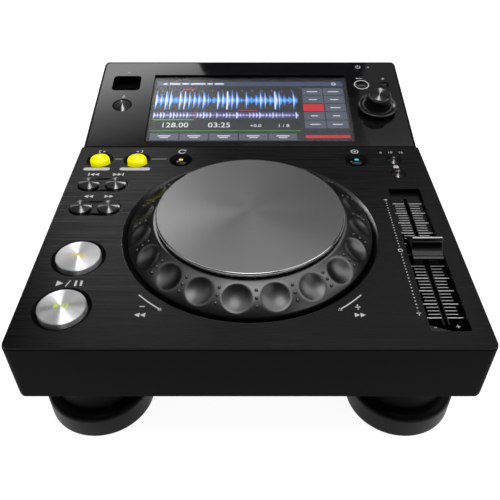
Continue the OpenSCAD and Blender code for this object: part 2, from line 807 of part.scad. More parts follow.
module foot_columns() {
    low = -deck_z + pad_h + shoulder_h;
    color("#1f1f20") on_deck() at_places(foot_places) difference() {
        rod(column_r, low, -body_h);
        rod(foot_bolt_r + seat_gap, low + 4, -body_h + 1);
    }
}

module foot_pads() {
    color("#232324") on_deck() at_places(foot_places) translate([0, 0, -deck_z]) rotate_extrude()
        polygon([
            [0, 0], [pad_r - pad_bevel, 0], [pad_r, pad_bevel], [pad_r, pad_h - pad_bevel],
            [pad_r - pad_bevel, pad_h], [column_r + 0.8, pad_h + shoulder_h], [0, pad_h + shoulder_h]
        ]);
}

module foot_bolts() {
    reach = foot_h - pad_h - shoulder_h - 6;
    color("#9a9da1") on_deck() at_places(foot_places) {
        rod(foot_bolt_r, -body_h - reach, base_top + e);
        rod(2 * foot_bolt_r, base_top, base_top + foot_bolt_r);
    }
}

// Jog wheel

module jog_bevel() {
    in_r = jog_hole_r - bezel_w;
    color("#232325") at_jog() rotate_extrude() polygon([
        [jog_hole_r - seat_gap, 0], [in_r, -bezel_w], [in_r, bevel_low],
        [jog_hole_r + bevel_flange_w, bevel_low], [jog_hole_r + bevel_flange_w, under_top],
        [jog_hole_r - seat_gap, under_top]
    ]);
}

module jog_tray() {
    out_r = tray_in_r + tray_wall;
    floor_low = tray_floor - tray_wall;
    boss = bush_r + 3.5;
    bore = bush_r + seat_gap;
    color("#262628") difference() {
        union() {
            at_jog() rotate_extrude() polygon([
                [tray_in_r, under_top], [out_r, under_top], [out_r, floor_low], [boss, floor_low],
                [boss, bush_low], [bore, bush_low], [bore, bush_top], [boss, bush_top],
                [boss, tray_floor], [tray_in_r, tray_floor]
            ]);
            on_deck() difference() {
                at_places(tray_boss_places) rod(tray_ear_r, floor_low, tray_floor);
                translate([0, jog_y, 0]) rod(tray_in_r + tray_wall / 2, floor_low - 1, tray_floor + 1);
            }
        }
        on_deck() at_places(tray_boss_places) rod(screw_r + 0.2, floor_low - 1, tray_floor + 1);
    }
}

module jog_bush() {
    bore = spindle_r + run_gap;
    color("#b5924c") at_jog() rotate_extrude() polygon([
        [bore, bush_low], [bush_r, bush_low], [bush_r, bush_top], [bush_r + 2, bush_top],
        [bush_r + 2, bush_top + bush_flange_t], [bore, bush_top + bush_flange_t]
    ]);
}

module jog_spindle() {
    color("#c3c6ca") at_jog() rod(spindle_r, encoder_low - 1, platter_low - platter_travel - slide_gap);
}

module jog_ring() {
    bore = spindle_r + seat_gap;
    drop = ring_wall / cos(ring_slope);
    under_edge = ring_r - 3;
    under_web = ring_in_r + (ring_top - drop - web_top + web_t) / tan(ring_slope);
    under_edge_z = ring_top - drop - (under_edge - ring_in_r) * tan(ring_slope);
    ball_r = (dimple_r * dimple_r + dimple_depth * dimple_depth) / (2 * dimple_depth);
    mid_r = ring_r - ring_face_w / 2;
    mid_z = ring_lip + ring_rise / 2;
    color("#55565a") at_jog() difference() {
        rotate_extrude() polygon([
            [bore, web_top], [ring_in_r - ring_inner_wall, web_top],
            [ring_in_r - ring_inner_wall, ring_top], [ring_in_r, ring_top], [ring_r, ring_lip],
            [ring_r, ring_lip - ring_skirt], [under_edge, ring_lip - ring_skirt],
            [under_edge, under_edge_z], [under_web, web_top - web_t],
            [hub_r, web_top - web_t], [hub_r, hub_low], [bore, hub_low]
        ]);
        for (i = [0 : dimple_count - 1])
            rotate(-90 + dimple_turn + i * 360 / dimple_count) translate([mid_r, 0, mid_z])
                rotate([0, ring_slope, 0]) translate([0, 0, ball_r - dimple_depth]) sphere(r = ball_r);
    }
}

module encoder_disc() {
    bore = spindle_r + seat_gap;
    color("#7d8288") at_jog() rotate_extrude() polygon([
        [bore, encoder_low], [encoder_r, encoder_low], [encoder_r, encoder_low + encoder_t],
        [spindle_r + 3, encoder_low + encoder_t], [spindle_r + 3, encoder_low + encoder_hub_h],
        [bore, encoder_low + encoder_hub_h]
    ]);
}

module encoder_sensor() {
    fork = [8, 10];
    low = encoder_low - 4;
    color("#151517") at_jog() difference() {
        translate([encoder_r - 3, -fork[1] / 2, low]) cube([fork[0], fork[1], tray_floor - tray_wall - low]);
        translate([encoder_r - 4, -fork[1] / 2 - 1, encoder_low - 0.6])
            cube([5, fork[1] + 2, encoder_t + 1.2]);
    }
}

module touch_sensor() {
    color("#7a4a2a") at_jog() difference() {
        rod(platter_r - 6, web_top, web_top + sensor_t);
        rod(platter_r - 22, web_top - 1, web_top + sensor_t + 1);
    }
}

module jog_platter() {
    bore = spindle_r + run_gap;
    rib_low = web_top + sensor_t + platter_travel + slide_gap;
    boss_low = web_top + platter_travel + slide_gap;
    disc_r = platter_r - trim_w;
    color("#8b8d90") at_jog() rotate_extrude() polygon([
        [0, platter_top], [disc_r, platter_top], [disc_r, platter_low],
        [platter_r - rib_out, platter_low], [platter_r - rib_out, rib_low], [platter_r - rib_in, rib_low],
        [platter_r - rib_in, platter_low], [hub_r, platter_low], [hub_r, boss_low], [bore, boss_low],
        [bore, platter_low], [0, platter_low]
    ]);
}

module platter_rim() {
    in_r = platter_r - trim_w + seat_gap;
    flat = 0.3;
    color("#c9cbce") at_jog() rotate_extrude() polygon([
        [in_r, platter_top], [in_r + flat, platter_top],
        [platter_r, platter_top - trim_w + flat], [platter_r, platter_low], [in_r, platter_low]
    ]);
}

// Tempo fader

module fader_plate() {
    slot = stem_len / 2 + fader_travel + track_spare;
    color("#161617") on_deck() translate([fader_x, fader_y, 0]) difference() {
        slab(under_top - plate_t, under_top) square([recess_w + 2, recess_len + 5], center = true);
        slab(under_top - plate_t - 1, under_top + 1) square([stem_t + 1, 2 * slot], center = true);
    }
}

module fader_track() {
    inner = [carriage_w + 2 * slide_gap, carriage_len + 2 * fader_travel + 2 * track_spare];
    outer = inner + 2 * [track_wall, track_wall];
    color("#8f9296") on_deck() translate([fader_x, fader_y, 0]) difference() {
        slab(track_low, track_top) square(outer, center = true);
        slab(track_low + track_wall, track_top + 1) square(inner, center = true);
    }
}

module fader_carriage() {
    color("#b9bcc0") on_deck() translate([fader_x, fader_y, 0]) {
        slab(carriage_low, carriage_top) square([carriage_w, carriage_len], center = true);
        slab(carriage_top - e, stem_top) square([stem_t, stem_len], center = true);
    }
}

module fader_cap() {
    steps = 10;
    reach = cap_len / 2 - ridge_w / 2;
    fall = cap_h - lip_h;
    // From the ridge down to the rear lip, hollow like a quarter of an ellipse
    hollow = [for (i = [0 : steps])
        let (a = 90 * i / steps)
        [ridge_w / 2 + reach * (1 - cos(a)), cap_h - fall * sin(a)]];
    front = [for (i = [steps : -1 : 0]) [-hollow[i][0], hollow[i][1]]];
    color(gloss_black) on_deck() translate([fader_x, fader_y, 0]) difference() {
        side_cut(cap_w) polygon(concat(front, hollow, [[cap_len / 2, cap_low], [-cap_len / 2, cap_low]]));
        slab(cap_low - 1, stem_top + seat_gap)
            square([stem_t + 2 * seat_gap, stem_len + 2 * seat_gap], center = true);
    }
}

// Selector

module selector_knob() {
    bore = shaft_r + run_gap;
    steps = 6;
    skirt_h = 1.4;
    flare = 3;
    sweep = [for (i = [0 : steps])
        let (a = 90 * i / steps)
        [selector_r + (skirt_r - selector_r) * (1 - sin(a)), knob_low + skirt_h + flare * (1 - cos(a))]];
    color(gloss_black) on_panel() translate([selector_x, selector_u, 0]) rotate_extrude() polygon(concat(
        [[bore, knob_low], [skirt_r, knob_low]], sweep,
        [
            [selector_r, selector_h - 0.8], [selector_r - 0.8, selector_h], [selector_r - 1.8, selector_h],
            [selector_r - 2.6, selector_h - 0.5], [0, selector_h - 0.5], [0, selector_h - 1.7],
            [bore, selector_h - 1.7]
        ]
    ));
}

shaft_low = -key_board_drop + 2;

module selector_shaft() {
    color("#b9bcc0") on_panel() translate([selector_x, selector_u, 0])
        rod(shaft_r, shaft_low, selector_h - 1.7 - slide_gap);
}

module selector_encoder() {
    top = -key_board_drop + encoder_box_h;
    color("#77797d") on_panel() translate([selector_x, selector_u, 0]) difference() {
        union() {
            translate([-encoder_box / 2, -encoder_box / 2, -key_board_drop])
                cube([encoder_box, encoder_box, encoder_box_h]);
            rod(bushing_r, top - e, -seat_gap);
        }
        rod(shaft_r + run_gap, shaft_low - selector_travel - slide_gap, 1);
    }
}

// Keys

module transport_key(y) {
    on_deck() translate([key_x, y, 0])
        key_body(transport_r, transport_top, 0.5, dish_low, switch_top, key_travel);
}

module cue_key() {
    color("#b4b6b8") transport_key(cue_y);
}

module play_key() {
    color("#b4b6b8") transport_key(play_y);
}

module transport_rings() {
    color(gloss_black) on_deck() for (y = [play_y, cue_y])
        translate([key_x, y, 0]) key_dish(transport_r, transport_ring_w, transport_dish);
}

module loop_key(x) {
    on_deck() translate([x, row_y, 0]) key_body(loop_r, loop_top, 2, dish_low, switch_top, key_travel);
}

module loop_in_key() {
    color("#f4f000") loop_key(loop_in_x);
}

module loop_out_key() {
    color("#f4f000") loop_key(loop_out_x);
}

module mode_key(x) {
    on_deck() translate([x, row_y, 0])
        key_body(mode_r, 0, small_key_dome, dish_low, switch_top, key_travel);
}

module reloop_key() {
    color(gloss_black) mode_key(reloop_x);
}

module jog_mode_key() {
    color(gloss_black) mode_key(jog_mode_x);
}

module key_dishes() {
    color("#1d1d1e") on_deck() {
        for (x = [loop_in_x, loop_out_x]) translate([x, row_y, 0]) key_dish(loop_r, loop_dish_w, dish_depth);
        for (x = [reloop_x, jog_mode_x]) translate([x, row_y, 0]) key_dish(mode_r, mode_dish_w, dish_depth);
    }
}

module pair_key(i) {
    on_deck() translate([pair_places[i][0], pair_places[i][1], 0])
        key_body(pair_r, 1, 1.4, dish_low, switch_top, key_travel);
}

module search_back_key() {
    color(gloss_black) pair_key(0);
}

module search_next_key() {
    color(gloss_black) pair_key(1);
}

module track_back_key() {
    color(gloss_black) pair_key(2);
}

module track_next_key() {
    color(gloss_black) pair_key(3);
}

module pair_dishes() {
    color("#2b2b2d") on_deck() difference() {
        for (y = [search_y, track_y]) translate([key_x, y, 0]) {
            slab(dish_low, -seat_gap) oblong(pair_pitch, pair_dish_r - seat_gap);
            slab(dish_low, under_top) oblong(pair_pitch, pair_dish_r + dish_flange_w);
        }
        for (y = [search_y, track_y]) translate([key_x, y, 0])
            slab(-1.2, 1) oblong(pair_pitch, pair_dish_r - 0.8);
        at_places(pair_places) rod(pair_r + slide_gap, dish_low - 1, 1);
    }
}

module tempo_key(y) {
    on_deck() translate([fader_x, y, 0])
        key_body(tempo_r, 0.8, small_key_dome, under_top, switch_top, key_travel);
}

module tempo_range_key() {
    color(gloss_black) tempo_key(row_y);
}

module key_lock_key() {
    color(gloss_black) tempo_key(key_lock_y);
}

module panel_key(x, u, r) {
    on_panel() translate([x, u, 0])
        key_body(r, 0.8, small_key_dome, under_top, switch_top, key_travel);
}

module back_key() {
    color(gloss_black) panel_key(back_x, back_u, back_r);
}

module tag_key() {
    color(gloss_black) panel_key(tag_x, back_u, tag_r);
}

module memory_stop_key() {
    color(gloss_black) panel_key(left_x, stop_u, stop_r);
}

module power_button() {
    switch_face = power_board_box[1][1] + 0.5;
    tip = switch_face + power_travel + slide_gap;
    flange = plate_in - slide_gap;
    color("#202022") on_deck() translate([power_x, 0, rear_mid]) rotate([-90, 0, 0]) {
        rod(power_r, flange - key_flange_t, case_d - 0.5);
        rod(power_r + key_flange_w, flange - key_flange_t, flange);
        rod(key_stem_r, tip, flange - key_flange_t + e);
    }
}

// Boards

module key_boards() {
    hang = concat(left_hang_places, right_hang_places);
    color(board_green) on_deck() difference() {
        for (b = [left_board_box, right_board_box]) plan_box(b, -key_board_drop - board_t, -key_board_drop);
        at_places(hang) rod(screw_r + 0.2, -key_board_drop - board_t - 1, -key_board_drop + 1);
    }
}

module panel_boards() {
    left = [[left_x - 15, stop_u - 13], [left_x + 15, stop_u + 6]];
    right = [[selector_x - 12.2, selector_u - 9], [selector_x + 15, back_u + 15]];
    color(board_green) on_panel() difference() {
        for (b = [left, right]) plan_box(b, -key_board_drop - board_t, -key_board_drop);
        at_places(panel_hang_places) rod(screw_r + 0.2, -key_board_drop - board_t - 1, -key_board_drop + 1);
    }
}

module key_switch() {
    body_top = switch_top - 0.8;
    translate([-switch_w / 2, -switch_w / 2, -key_board_drop])
        cube([switch_w, switch_w, body_top + key_board_drop]);
    rod(1.6, body_top - e, switch_top);
}

module key_switches() {
    color("#2f3033") {
        on_deck() at_places(deck_switch_places) key_switch();
        on_panel() at_places(panel_switch_places) key_switch();
    }
}

module main_board() {
    low = main_board_box[0];
    color(board_green) on_deck() difference() {
        union() {
            plan_box(main_board_box, main_top - board_t, main_top);
            translate([low[0] + processor_w, low[1] + network_chip[0], main_top - e])
                cube([processor_w, processor_w, chip_h]);
            translate([low[0] + 2.5 * processor_w, low[1] + network_chip[0], main_top - e])
                cube(memory_chip);
            translate([low[0] + 3.3 * processor_w, low[1] + network_chip[0], main_top - e])
                cube(network_chip);
            for (i = [0 : 3])
                translate([low[0] + processor_w + main_can_pitch * i, low[1] + 2.1 * processor_w, 0])
                    rod(main_can_r, main_top - e, main_top + main_can_h);
        }
        at_places(main_post_places) rod(screw_r + 0.2, main_top - board_t - 1, main_top + 1);
    }
}

module power_board() {
    low = power_board_box[0];
    switch_y = power_board_box[1][1] + 0.5 - power_switch_size[1];
    color(board_green) on_deck() difference() {
        union() {
            plan_box(power_board_box, main_top - board_t, main_top);
            translate([low[0] + coil_block[2], low[1] + coil_block[2], main_top - e]) cube(coil_block);
            for (i = [0, 1])
                translate([low[0] + 2.1 * coil_block[0], low[1] + power_can_pitch * (i + 1), 0])
                    rod(power_can_r, main_top - e, main_top + power_can_h);
            translate([power_x - power_switch_size[0] / 2, switch_y, main_top - e]) cube(power_switch_size);
        }
        at_places(power_post_places) rod(screw_r + 0.2, main_top - board_t - 1, main_top + 1);
    }
}

// Sockets

module mains_inlet() {
    w = inlet_w + 2 * inlet_shell;
    h = inlet_h + 2 * inlet_shell;
    pin_len = 10;
    color("#141415") on_deck() translate([inlet_x, 0, rear_mid]) rotate([-90, 0, 0]) {
        difference() {
            union() {
                slab(socket_face - inlet_deep - 3, socket_face) square([w, h], center = true);
                slab(plate_in - inlet_flange, plate_in) square([w + 4, h], center = true);
            }
            slab(socket_face - inlet_deep, socket_face + 1) round_box(inlet_w, inlet_h, 2.5);
        }
        for (p = [[-7, -2], [0, 2.5], [7, -2]]) translate([p[0], p[1], 0])
            slab(socket_face - inlet_deep - e, socket_face - inlet_deep + pin_len)
                square([2, 4], center = true);
    }
}

module network_socket() {
    color("#a9acb0") on_deck() translate([lan_x - lan_size[0] / 2, socket_face - lan_size[1], main_top])
        difference() {
            cube(lan_size);
            translate([(lan_size[0] - 11.8) / 2, lan_size[1] - 13, 2]) cube([11.8, 14, 8.4]);
            translate([(lan_size[0] - 6) / 2, lan_size[1] - 13, 1]) cube([6, 14, 4]);
        }
}

module data_socket() {
    hole = [8.6, 9, 8];
    tongue = [5.6, 4.4, 3.2];
    color("#a9acb0") on_deck() translate([-data_x, socket_face, main_top]) {
        difference() {
            translate([-data_size[0] / 2, -data_size[1], 0]) cube(data_size);
            translate([-hole[0] / 2, -hole[1], (data_size[2] - hole[2]) / 2]) cube(hole + [0, 1, 0]);
        }
        translate([-tongue[0] / 2, -hole[1] - e, (data_size[2] - tongue[2]) / 2]) cube(tongue);
    }
}

module audio_jacks() {
    color("#c8a24a") on_deck() difference() {
        union() {
            translate([-audio_x - audio_pitch, plate_in - audio_deep, main_top])
                cube([2 * audio_pitch, audio_deep, audio_h]);
            for (s = [-1, 1]) translate([-audio_x + s * audio_pitch / 2, 0, jack_mid]) rotate([-90, 0, 0])
                rod(jack_r, plate_in - e, case_d + jack_out);
        }
        for (s = [-1, 1]) translate([-audio_x + s * audio_pitch / 2, 0, jack_mid]) rotate([-90, 0, 0])
            rod(1.65, case_d - 1, case_d + jack_out + 1);
    }
}

module memory_socket() {
    shell_t = 0.5;
    top = -stick_depth + 1.5;
    color("#b7babd") on_panel() translate([left_x, stick_u, 0]) difference() {
        union() {
            slab(top - memory_deep, top) square([memory_w, memory_len], center = true);
            slab(top - memory_deep, -stick_depth - stick_wall)
                square([memory_w + 3, memory_len + 3], center = true);
        }
        difference() {
            slab(top - memory_deep + 3, top + 1)
                square([memory_w - 2 * shell_t, memory_len - 2 * shell_t], center = true);
            translate([0, 1, 0]) slab(top - memory_deep, top - 1)
                square([memory_w - 2, 1.9], center = true);
        }
    }
}

module standby_lamp() {
    color("#d8dadb") on_panel() translate([selector_x, lamp_u, 0]) {
        rod(lamp_r, under_top - 1, 0.1);
        rod(lamp_collar_r, under_top - lamp_collar_h, under_top);
    }
}

module case_screws() {
    board_low = -key_board_drop - board_t;
    color("#8d9094") {
        on_deck() {
            at_places(concat(deck_boss_places, rear_boss_places))
                screw(-body_h - screw_head_h, base_t + screw_bite);
            at_places(concat(left_hang_places, right_hang_places))
                screw(board_low - screw_head_h, board_t + screw_bite - 0.5);
            at_places(tray_boss_places)
                screw(tray_floor - tray_wall - screw_head_h, tray_wall + under_top - tray_floor - 0.5);
            at_places(concat(main_post_places, power_post_places))
                translate([0, 0, 2 * main_top]) mirror([0, 0, 1])
                    screw(main_top - screw_head_h, board_t + screw_bite - screw_head_h - 2);
        }
        on_panel() at_places(panel_hang_places)
            screw(board_low - screw_head_h, board_t + screw_bite - 0.5);
    }
}

deck_case();
deck_sheet();
display_case();
display_fascia();
screen_glass();
display_module();
display_bracket();
base_plate();
socket_plate();
foot_columns();
foot_pads();
foot_bolts();
jog_bevel();
jog_tray();
jog_bush();
jog_spindle();
jog_ring();
encoder_disc();
encoder_sensor();
touch_sensor();
jog_platter();
platter_rim();
fader_plate();
fader_track();
fader_carriage();
fader_cap();
selector_knob();
selector_shaft();
selector_encoder();
cue_key();
play_key();
transport_rings();
loop_in_key();
loop_out_key();
reloop_key();
key_dishes();
track_back_key();
track_next_key();
search_back_key();
search_next_key();
pair_dishes();
jog_mode_key();
tempo_range_key();
key_lock_key();
back_key();
tag_key();
memory_stop_key();
power_button();
key_boards();
panel_boards();
key_switches();
main_board();
power_board();
mains_inlet();
network_socket();
data_socket();
audio_jacks();
memory_socket();
standby_lamp();
case_screws();
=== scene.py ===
"""Compact media player for disc jockeys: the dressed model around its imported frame."""
import json
import math

import bpy
from bpy.props import FloatProperty, FloatVectorProperty, PointerProperty
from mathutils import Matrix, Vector

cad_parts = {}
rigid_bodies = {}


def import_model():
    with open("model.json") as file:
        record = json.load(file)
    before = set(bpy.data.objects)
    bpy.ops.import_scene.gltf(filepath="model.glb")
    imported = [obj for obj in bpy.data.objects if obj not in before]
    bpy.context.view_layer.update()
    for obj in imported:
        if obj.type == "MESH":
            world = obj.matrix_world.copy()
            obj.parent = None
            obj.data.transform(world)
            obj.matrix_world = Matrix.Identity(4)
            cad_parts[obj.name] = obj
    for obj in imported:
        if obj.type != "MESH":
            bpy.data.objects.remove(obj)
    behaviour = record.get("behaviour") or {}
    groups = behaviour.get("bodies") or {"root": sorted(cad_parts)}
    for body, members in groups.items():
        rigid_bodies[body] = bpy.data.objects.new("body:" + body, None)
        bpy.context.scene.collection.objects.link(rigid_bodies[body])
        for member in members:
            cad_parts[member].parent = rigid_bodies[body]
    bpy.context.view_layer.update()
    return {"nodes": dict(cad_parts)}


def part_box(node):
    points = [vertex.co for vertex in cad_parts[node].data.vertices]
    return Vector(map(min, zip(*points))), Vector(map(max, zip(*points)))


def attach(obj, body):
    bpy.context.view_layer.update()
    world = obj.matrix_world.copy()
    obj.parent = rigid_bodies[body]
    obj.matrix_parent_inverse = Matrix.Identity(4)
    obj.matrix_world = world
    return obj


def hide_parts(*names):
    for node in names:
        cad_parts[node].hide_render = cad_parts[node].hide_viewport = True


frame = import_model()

bl_info = {
    "name": "Media player",
    "version": (1, 0, 0),
    "blender": (4, 5, 0),
    "location": "View3D > Sidebar > Media player",
    "description": "Builds a tabletop media player with a jog wheel around its CAD frame",
    "category": "Add Mesh",
}

MM = 0.001
NODES = frame["nodes"]

# The deck frame in millimetres: x from the middle, y from the front face, z from the deck's top
FRONT_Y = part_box("deck_case")[0].y
DECK_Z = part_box("deck_sheet")[1].z
DECK_D = (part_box("deck_sheet")[1].y - FRONT_Y) / MM
PANEL_TILT = math.atan2(18.0, 99.5)

# Jog wheel
JOG_Y = 88.5
RING_R = 69.0
RING_IN_R = 53.6
RING_LIP = 0.3
RING_TOP = 10.2
RING_SLOPE = math.atan2(RING_TOP - RING_LIP, RING_R - RING_IN_R)
RING_CHORD = math.hypot(RING_TOP - RING_LIP, RING_R - RING_IN_R)
RING_BULGE = 1.1
DIMPLE_COUNT = 20
DIMPLE_TURN = -96.0
PLATTER_TOP = 13.6
PLATTER_LOW = 11.6
PLATTER_R = 52.6
RIM_IN_R = 51.15

# Tempo fader
FADER_X = 95.5
FADER_Y = 69.7
FADER_FLOOR = -3.2
CAP_W = 16.7
CAP_LEN = 19.0
CAP_H = 9.0
CAP_LIP = 2.0
CAP_LOW = -2.6
CAP_RIDGE = 2.0

# Keys: middle of the columns and rows
KEY_X = -92.5
PLAY_Y = 25.7
CUE_Y = 63.5
SEARCH_Y = 108.5
TRACK_Y = 133.0
PAIR_PITCH = 16.6
ROW_Y = 161.8
LOOP_IN_X = -99.7
LOOP_OUT_X = -75.1
RELOOP_X = -45.9
JOG_MODE_X = 70.9
KEY_LOCK_Y = 145.6
DISH_GUIDE = -5.0
DECK_GUIDE = -3.2
KEY_GAP = 0.3
KEY_FLANGE_W = 1.2
KEY_FLANGE_T = 1.2
KEY_STEM_R = 2.0
KEY_STEM_LOW = -9.1

# Controls on the tilted panel, with u up its slope
LEFT_X = -93.9
STOP_U = 46.6
SELECTOR_X = 92.4
SELECTOR_U = 42.0
GRIP_LOW = 3.6
GRIP_TOP = 11.8
GRIP_LOW_R = 9.7
GRIP_TOP_R = 8.7
BACK_X = 84.8
TAG_X = 102.0
BACK_U = 71.5

# Screen
SCREEN_W = 146.5
SCREEN_LOW_U = 6.45
SCREEN_HIGH_U = 83.97
GLASS_TOP = -1.2
GLASS_LOW = -1.9
PICTURE_N = -2.3
PICTURE_W = 141.6
PICTURE_H = 68.9
PICTURE_U = 43.85
LAYER_STEP = 0.05
LAYER_T = 0.04
TITLE_U = 75.2
WAVE_X = -17.3
WAVE_U = 55.0
WAVE_W = 106.0
WAVE_H = 22.0
OVERVIEW_U = 37.4
TILE_SIZE = (15.2, 8.6)
TILE_COLUMNS = (46.9, 62.9)
TILE_ROWS = tuple(65.4 - 9.6 * row for row in range(5))
FOOT_TILE_SIZE = (19.8, 7.2)
FOOT_TILE_U = 13.6
FOOT_TILES = tuple(-60.4 + 20.9 * column for column in range(5))

# Long cards behind the player: name, place, size, radiance, turns about the axes, tones along the length
CARDS = (
    ("left_card", (-0.352, 0.975, 1.0), (0.45, 0.95), 6.2, (0, 0, 22.3),
     ((0.28, 0.06), (0.42, 0.4), (0.56, 1.0), (1.0, 0.3))),
    ("near_card", (0.2, 0.7, 1.0), (0.8, 0.5), 2.4, (0, 0, 0),
     ((0.0, 1.0), (0.3, 0.8), (0.7, 0.15), (1.0, 0.0))),
)

# Round soft boxes around the player: degrees to the right of its back, degrees up, width and radiance
BOX_REACH = 1.7
SOFT_BOXES = (
    ("front_top_box", 180, 78, 0.9, 2.55),
    ("right_box", 90, 40, 0.9, 1.37),
    ("right_top_box", 90, 66, 0.9, 1.05),
    ("back_top_box", 0, 66, 0.9, 0.85),
    ("left_top_box", -90, 66, 0.9, 0.7),
    ("right_front_box", 130, 30, 0.9, 0.6),
    ("right_back_box", 32, 40, 0.7, 0.44),
    ("left_box", -90, 40, 0.9, 0.39),
    ("right_high_back_box", 45, 66, 0.9, 0.35),
    ("left_high_front_box", -130, 60, 0.9, 0.2),
    ("right_high_front_box", 130, 60, 0.9, 0.2),
)

# The studio's tones by the height of the view over the floor, from level at 0 to straight up at 1
SKY_TONES = ((0.1, 0.03), (0.2, 0.006), (0.5, 0.02))

# Narrow lights for the turned faces alone: name, place, size, radiance, aim and the pieces that they shine on
STRIP_SIZE = (0.13, 1.2)
PAIR_CAPS = ("track_back_key_cap", "track_next_key_cap", "search_back_key_cap", "search_next_key_cap")
RIGHT_CAPS = ("tempo_range_key_cap", "key_lock_key_cap", "selector_top_disc")
BRIGHT_CAPS = ("cue_key_cap", "play_key_cap")
GLINTS = (
    ("left_key_strip", (-0.17, -0.1, 1.45), STRIP_SIZE, 210.0, (-0.17, -0.1, 0.0),
     PAIR_CAPS + ("memory_stop_key_cap",)),
    ("pair_key_side", (0.37, 1.05, 0.87), (0.4, 0.1), 260.0, (-0.09, -0.03, 0.08), PAIR_CAPS),
    ("right_key_strip", (0.17, -0.1, 1.45), STRIP_SIZE, 210.0, (0.17, -0.1, 0.0), RIGHT_CAPS),
    ("bright_key_strip", (-0.15, -0.1, 1.45), (0.4, 1.2), 7.0, (-0.15, -0.1, 0.0), BRIGHT_CAPS),
    ("bevel_light", (-0.686, 0.752, 0.528), (0.5, 0.35), 18.0, (0.07, -0.06, 0.08), ("jog_hole_bevel",)),
)

# Feet
PAD_R = 29.4
PAD_H = 15.7
SHOULDER_H = 2.2
COLUMN_R = 23.5
COLUMN_TOP = 41.8
FOOT_PLACES = ((-85.0, 32.5), (85.0, 32.5), (-85.0, 258.0), (85.0, 258.0))

# How far a print sits in the face that carries it, and the rounding of the dishes and rings
PRINT_SINK = 0.02
TRIM_ROUND = 0.2

# How near the points of a mesh are merged, of solids and of flat marks
WELD = 0.002
MARK_WELD = 0.001

# Edges that turn by more degrees than this are sharp
SHARP_ANGLE = 30.0

# Camera and floor
CAMERA_PLACE = (0, -0.3292, 0.29097)
CAMERA_TILT = 49.417
CAMERA_LENS = 43.04
CAMERA_SENSOR = 36.0
FLOOR_R = 14.0
FLOOR_TONE = 0.4
FLOOR_GLOW = 0.94

# The values of a noise between which a finish changes
GRAIN_LOW = 0.3
GRAIN_HIGH = 0.7


def deck_point(x, y, z=0.0):
    """A place on the deck, in metres."""
    return Vector((x * MM, FRONT_Y + y * MM, DECK_Z + z * MM))


def panel_point(x, u, n=0.0):
    """A place on the tilted panel, in metres."""
    y = DECK_D + u * math.cos(PANEL_TILT) - n * math.sin(PANEL_TILT)
    z = u * math.sin(PANEL_TILT) + n * math.cos(PANEL_TILT)
    return deck_point(x, y, z)


def length_property(name, description, default, precision=5):
    """A length that a user may change, with its default in millimetres."""
    return FloatProperty(name=name, description=description, default=default * MM,
                         unit="LENGTH", precision=precision)


class PlayerSizes(bpy.types.PropertyGroup):
    """Sizes of the details that the dressed model adds."""

    case_round: length_property("Case rounding", "Rounding of the case edges", 0.2)
    sheet_round: length_property("Sheet rounding", "Rounding of the deck sheet and the fascia", 0.1)
    key_round: length_property("Key rounding", "Rounding of the shoulders of the keys", 0.45)
    cap_round: length_property("Fader cap rounding", "Rounding of the edges of the fader cap", 0.55)
    pad_round: length_property("Pad rounding", "Rounding of the edges of the rubber pads", 2.2)
    dimple_depth: length_property("Dimple depth", "Depth of the finger dimples in the jog ring", 2.0)
    dimple_radius: length_property("Dimple radius", "Radius of the finger dimples in the jog ring", 7.35)
    bump_radius: length_property("Bump radius", "Radius of the small grip bumps on the jog ring", 0.95)
    flute_depth: length_property("Flute depth", "Depth of the flutes around the selector's grip", 1.0)
    print_height: length_property("Print height", "Thickness of the printed marks", 0.05, 6)


def colour_property(name, description, default):
    """A colour that a user may change."""
    return FloatVectorProperty(name=name, description=description, default=default,
                               subtype="COLOR", size=3, min=0.0, max=1.0)


class PlayerColours(bpy.types.PropertyGroup):
    """Colours of the player's finishes."""

    case: colour_property("Case", "Matte plastic of the case", (0.0052, 0.0052, 0.0054))
    deck: colour_property("Deck", "Brushed sheet of the deck", (0.006, 0.006, 0.0062))
    gloss: colour_property("Gloss", "Glossy black plastic", (0.004, 0.004, 0.0045))
    ring: colour_property("Jog ring", "Satin metallic jog ring", (0.145, 0.145, 0.1465))
    platter: colour_property("Platter", "Spun platter", (0.235, 0.235, 0.235))
    steel: colour_property("Bright metal", "Bright turned metal", (0.6, 0.6, 0.61))
    yellow: colour_property("Loop keys", "Lit yellow keys", (0.88, 0.84, 0.0))
    rubber: colour_property("Rubber", "Rubber of the feet", (0.007, 0.007, 0.0073))
    ink: colour_property("Print", "Printed marks", (0.85, 0.85, 0.85))
    lit_yellow: colour_property("Cue light", "Lit mark of the cue key", (0.62, 0.5, 0.06))
    lit_green: colour_property("Play light", "Lit mark of the play key", (0.48, 0.66, 0.03))
    lit_blue: colour_property("Wave", "Wave on the screen", (0.03, 0.22, 0.75))
    lit_red: colour_property("Screen red", "Red accents on the screen", (0.5, 0.02, 0.03))
    slate: colour_property("Screen tiles", "Tiles on the screen", (0.075, 0.09, 0.125))


# Selecting and shaping

def deselect():
    """Leave edit mode and select nothing."""
    if bpy.context.mode != "OBJECT":
        bpy.ops.object.mode_set(mode="OBJECT")
    bpy.ops.object.select_all(action="DESELECT")


def choose(piece):
    """Make a piece the only selected one."""
    deselect()
    piece.select_set(True)
    bpy.context.view_layer.objects.active = piece


def name_piece(name):
    """Name the piece that was just added."""
    piece = bpy.context.object
    piece.name = name
    piece.data.name = name
    return piece


def edit_all():
    """Go to edit mode with everything selected."""
    bpy.ops.object.mode_set(mode="EDIT")
    bpy.ops.mesh.select_all(action="SELECT")


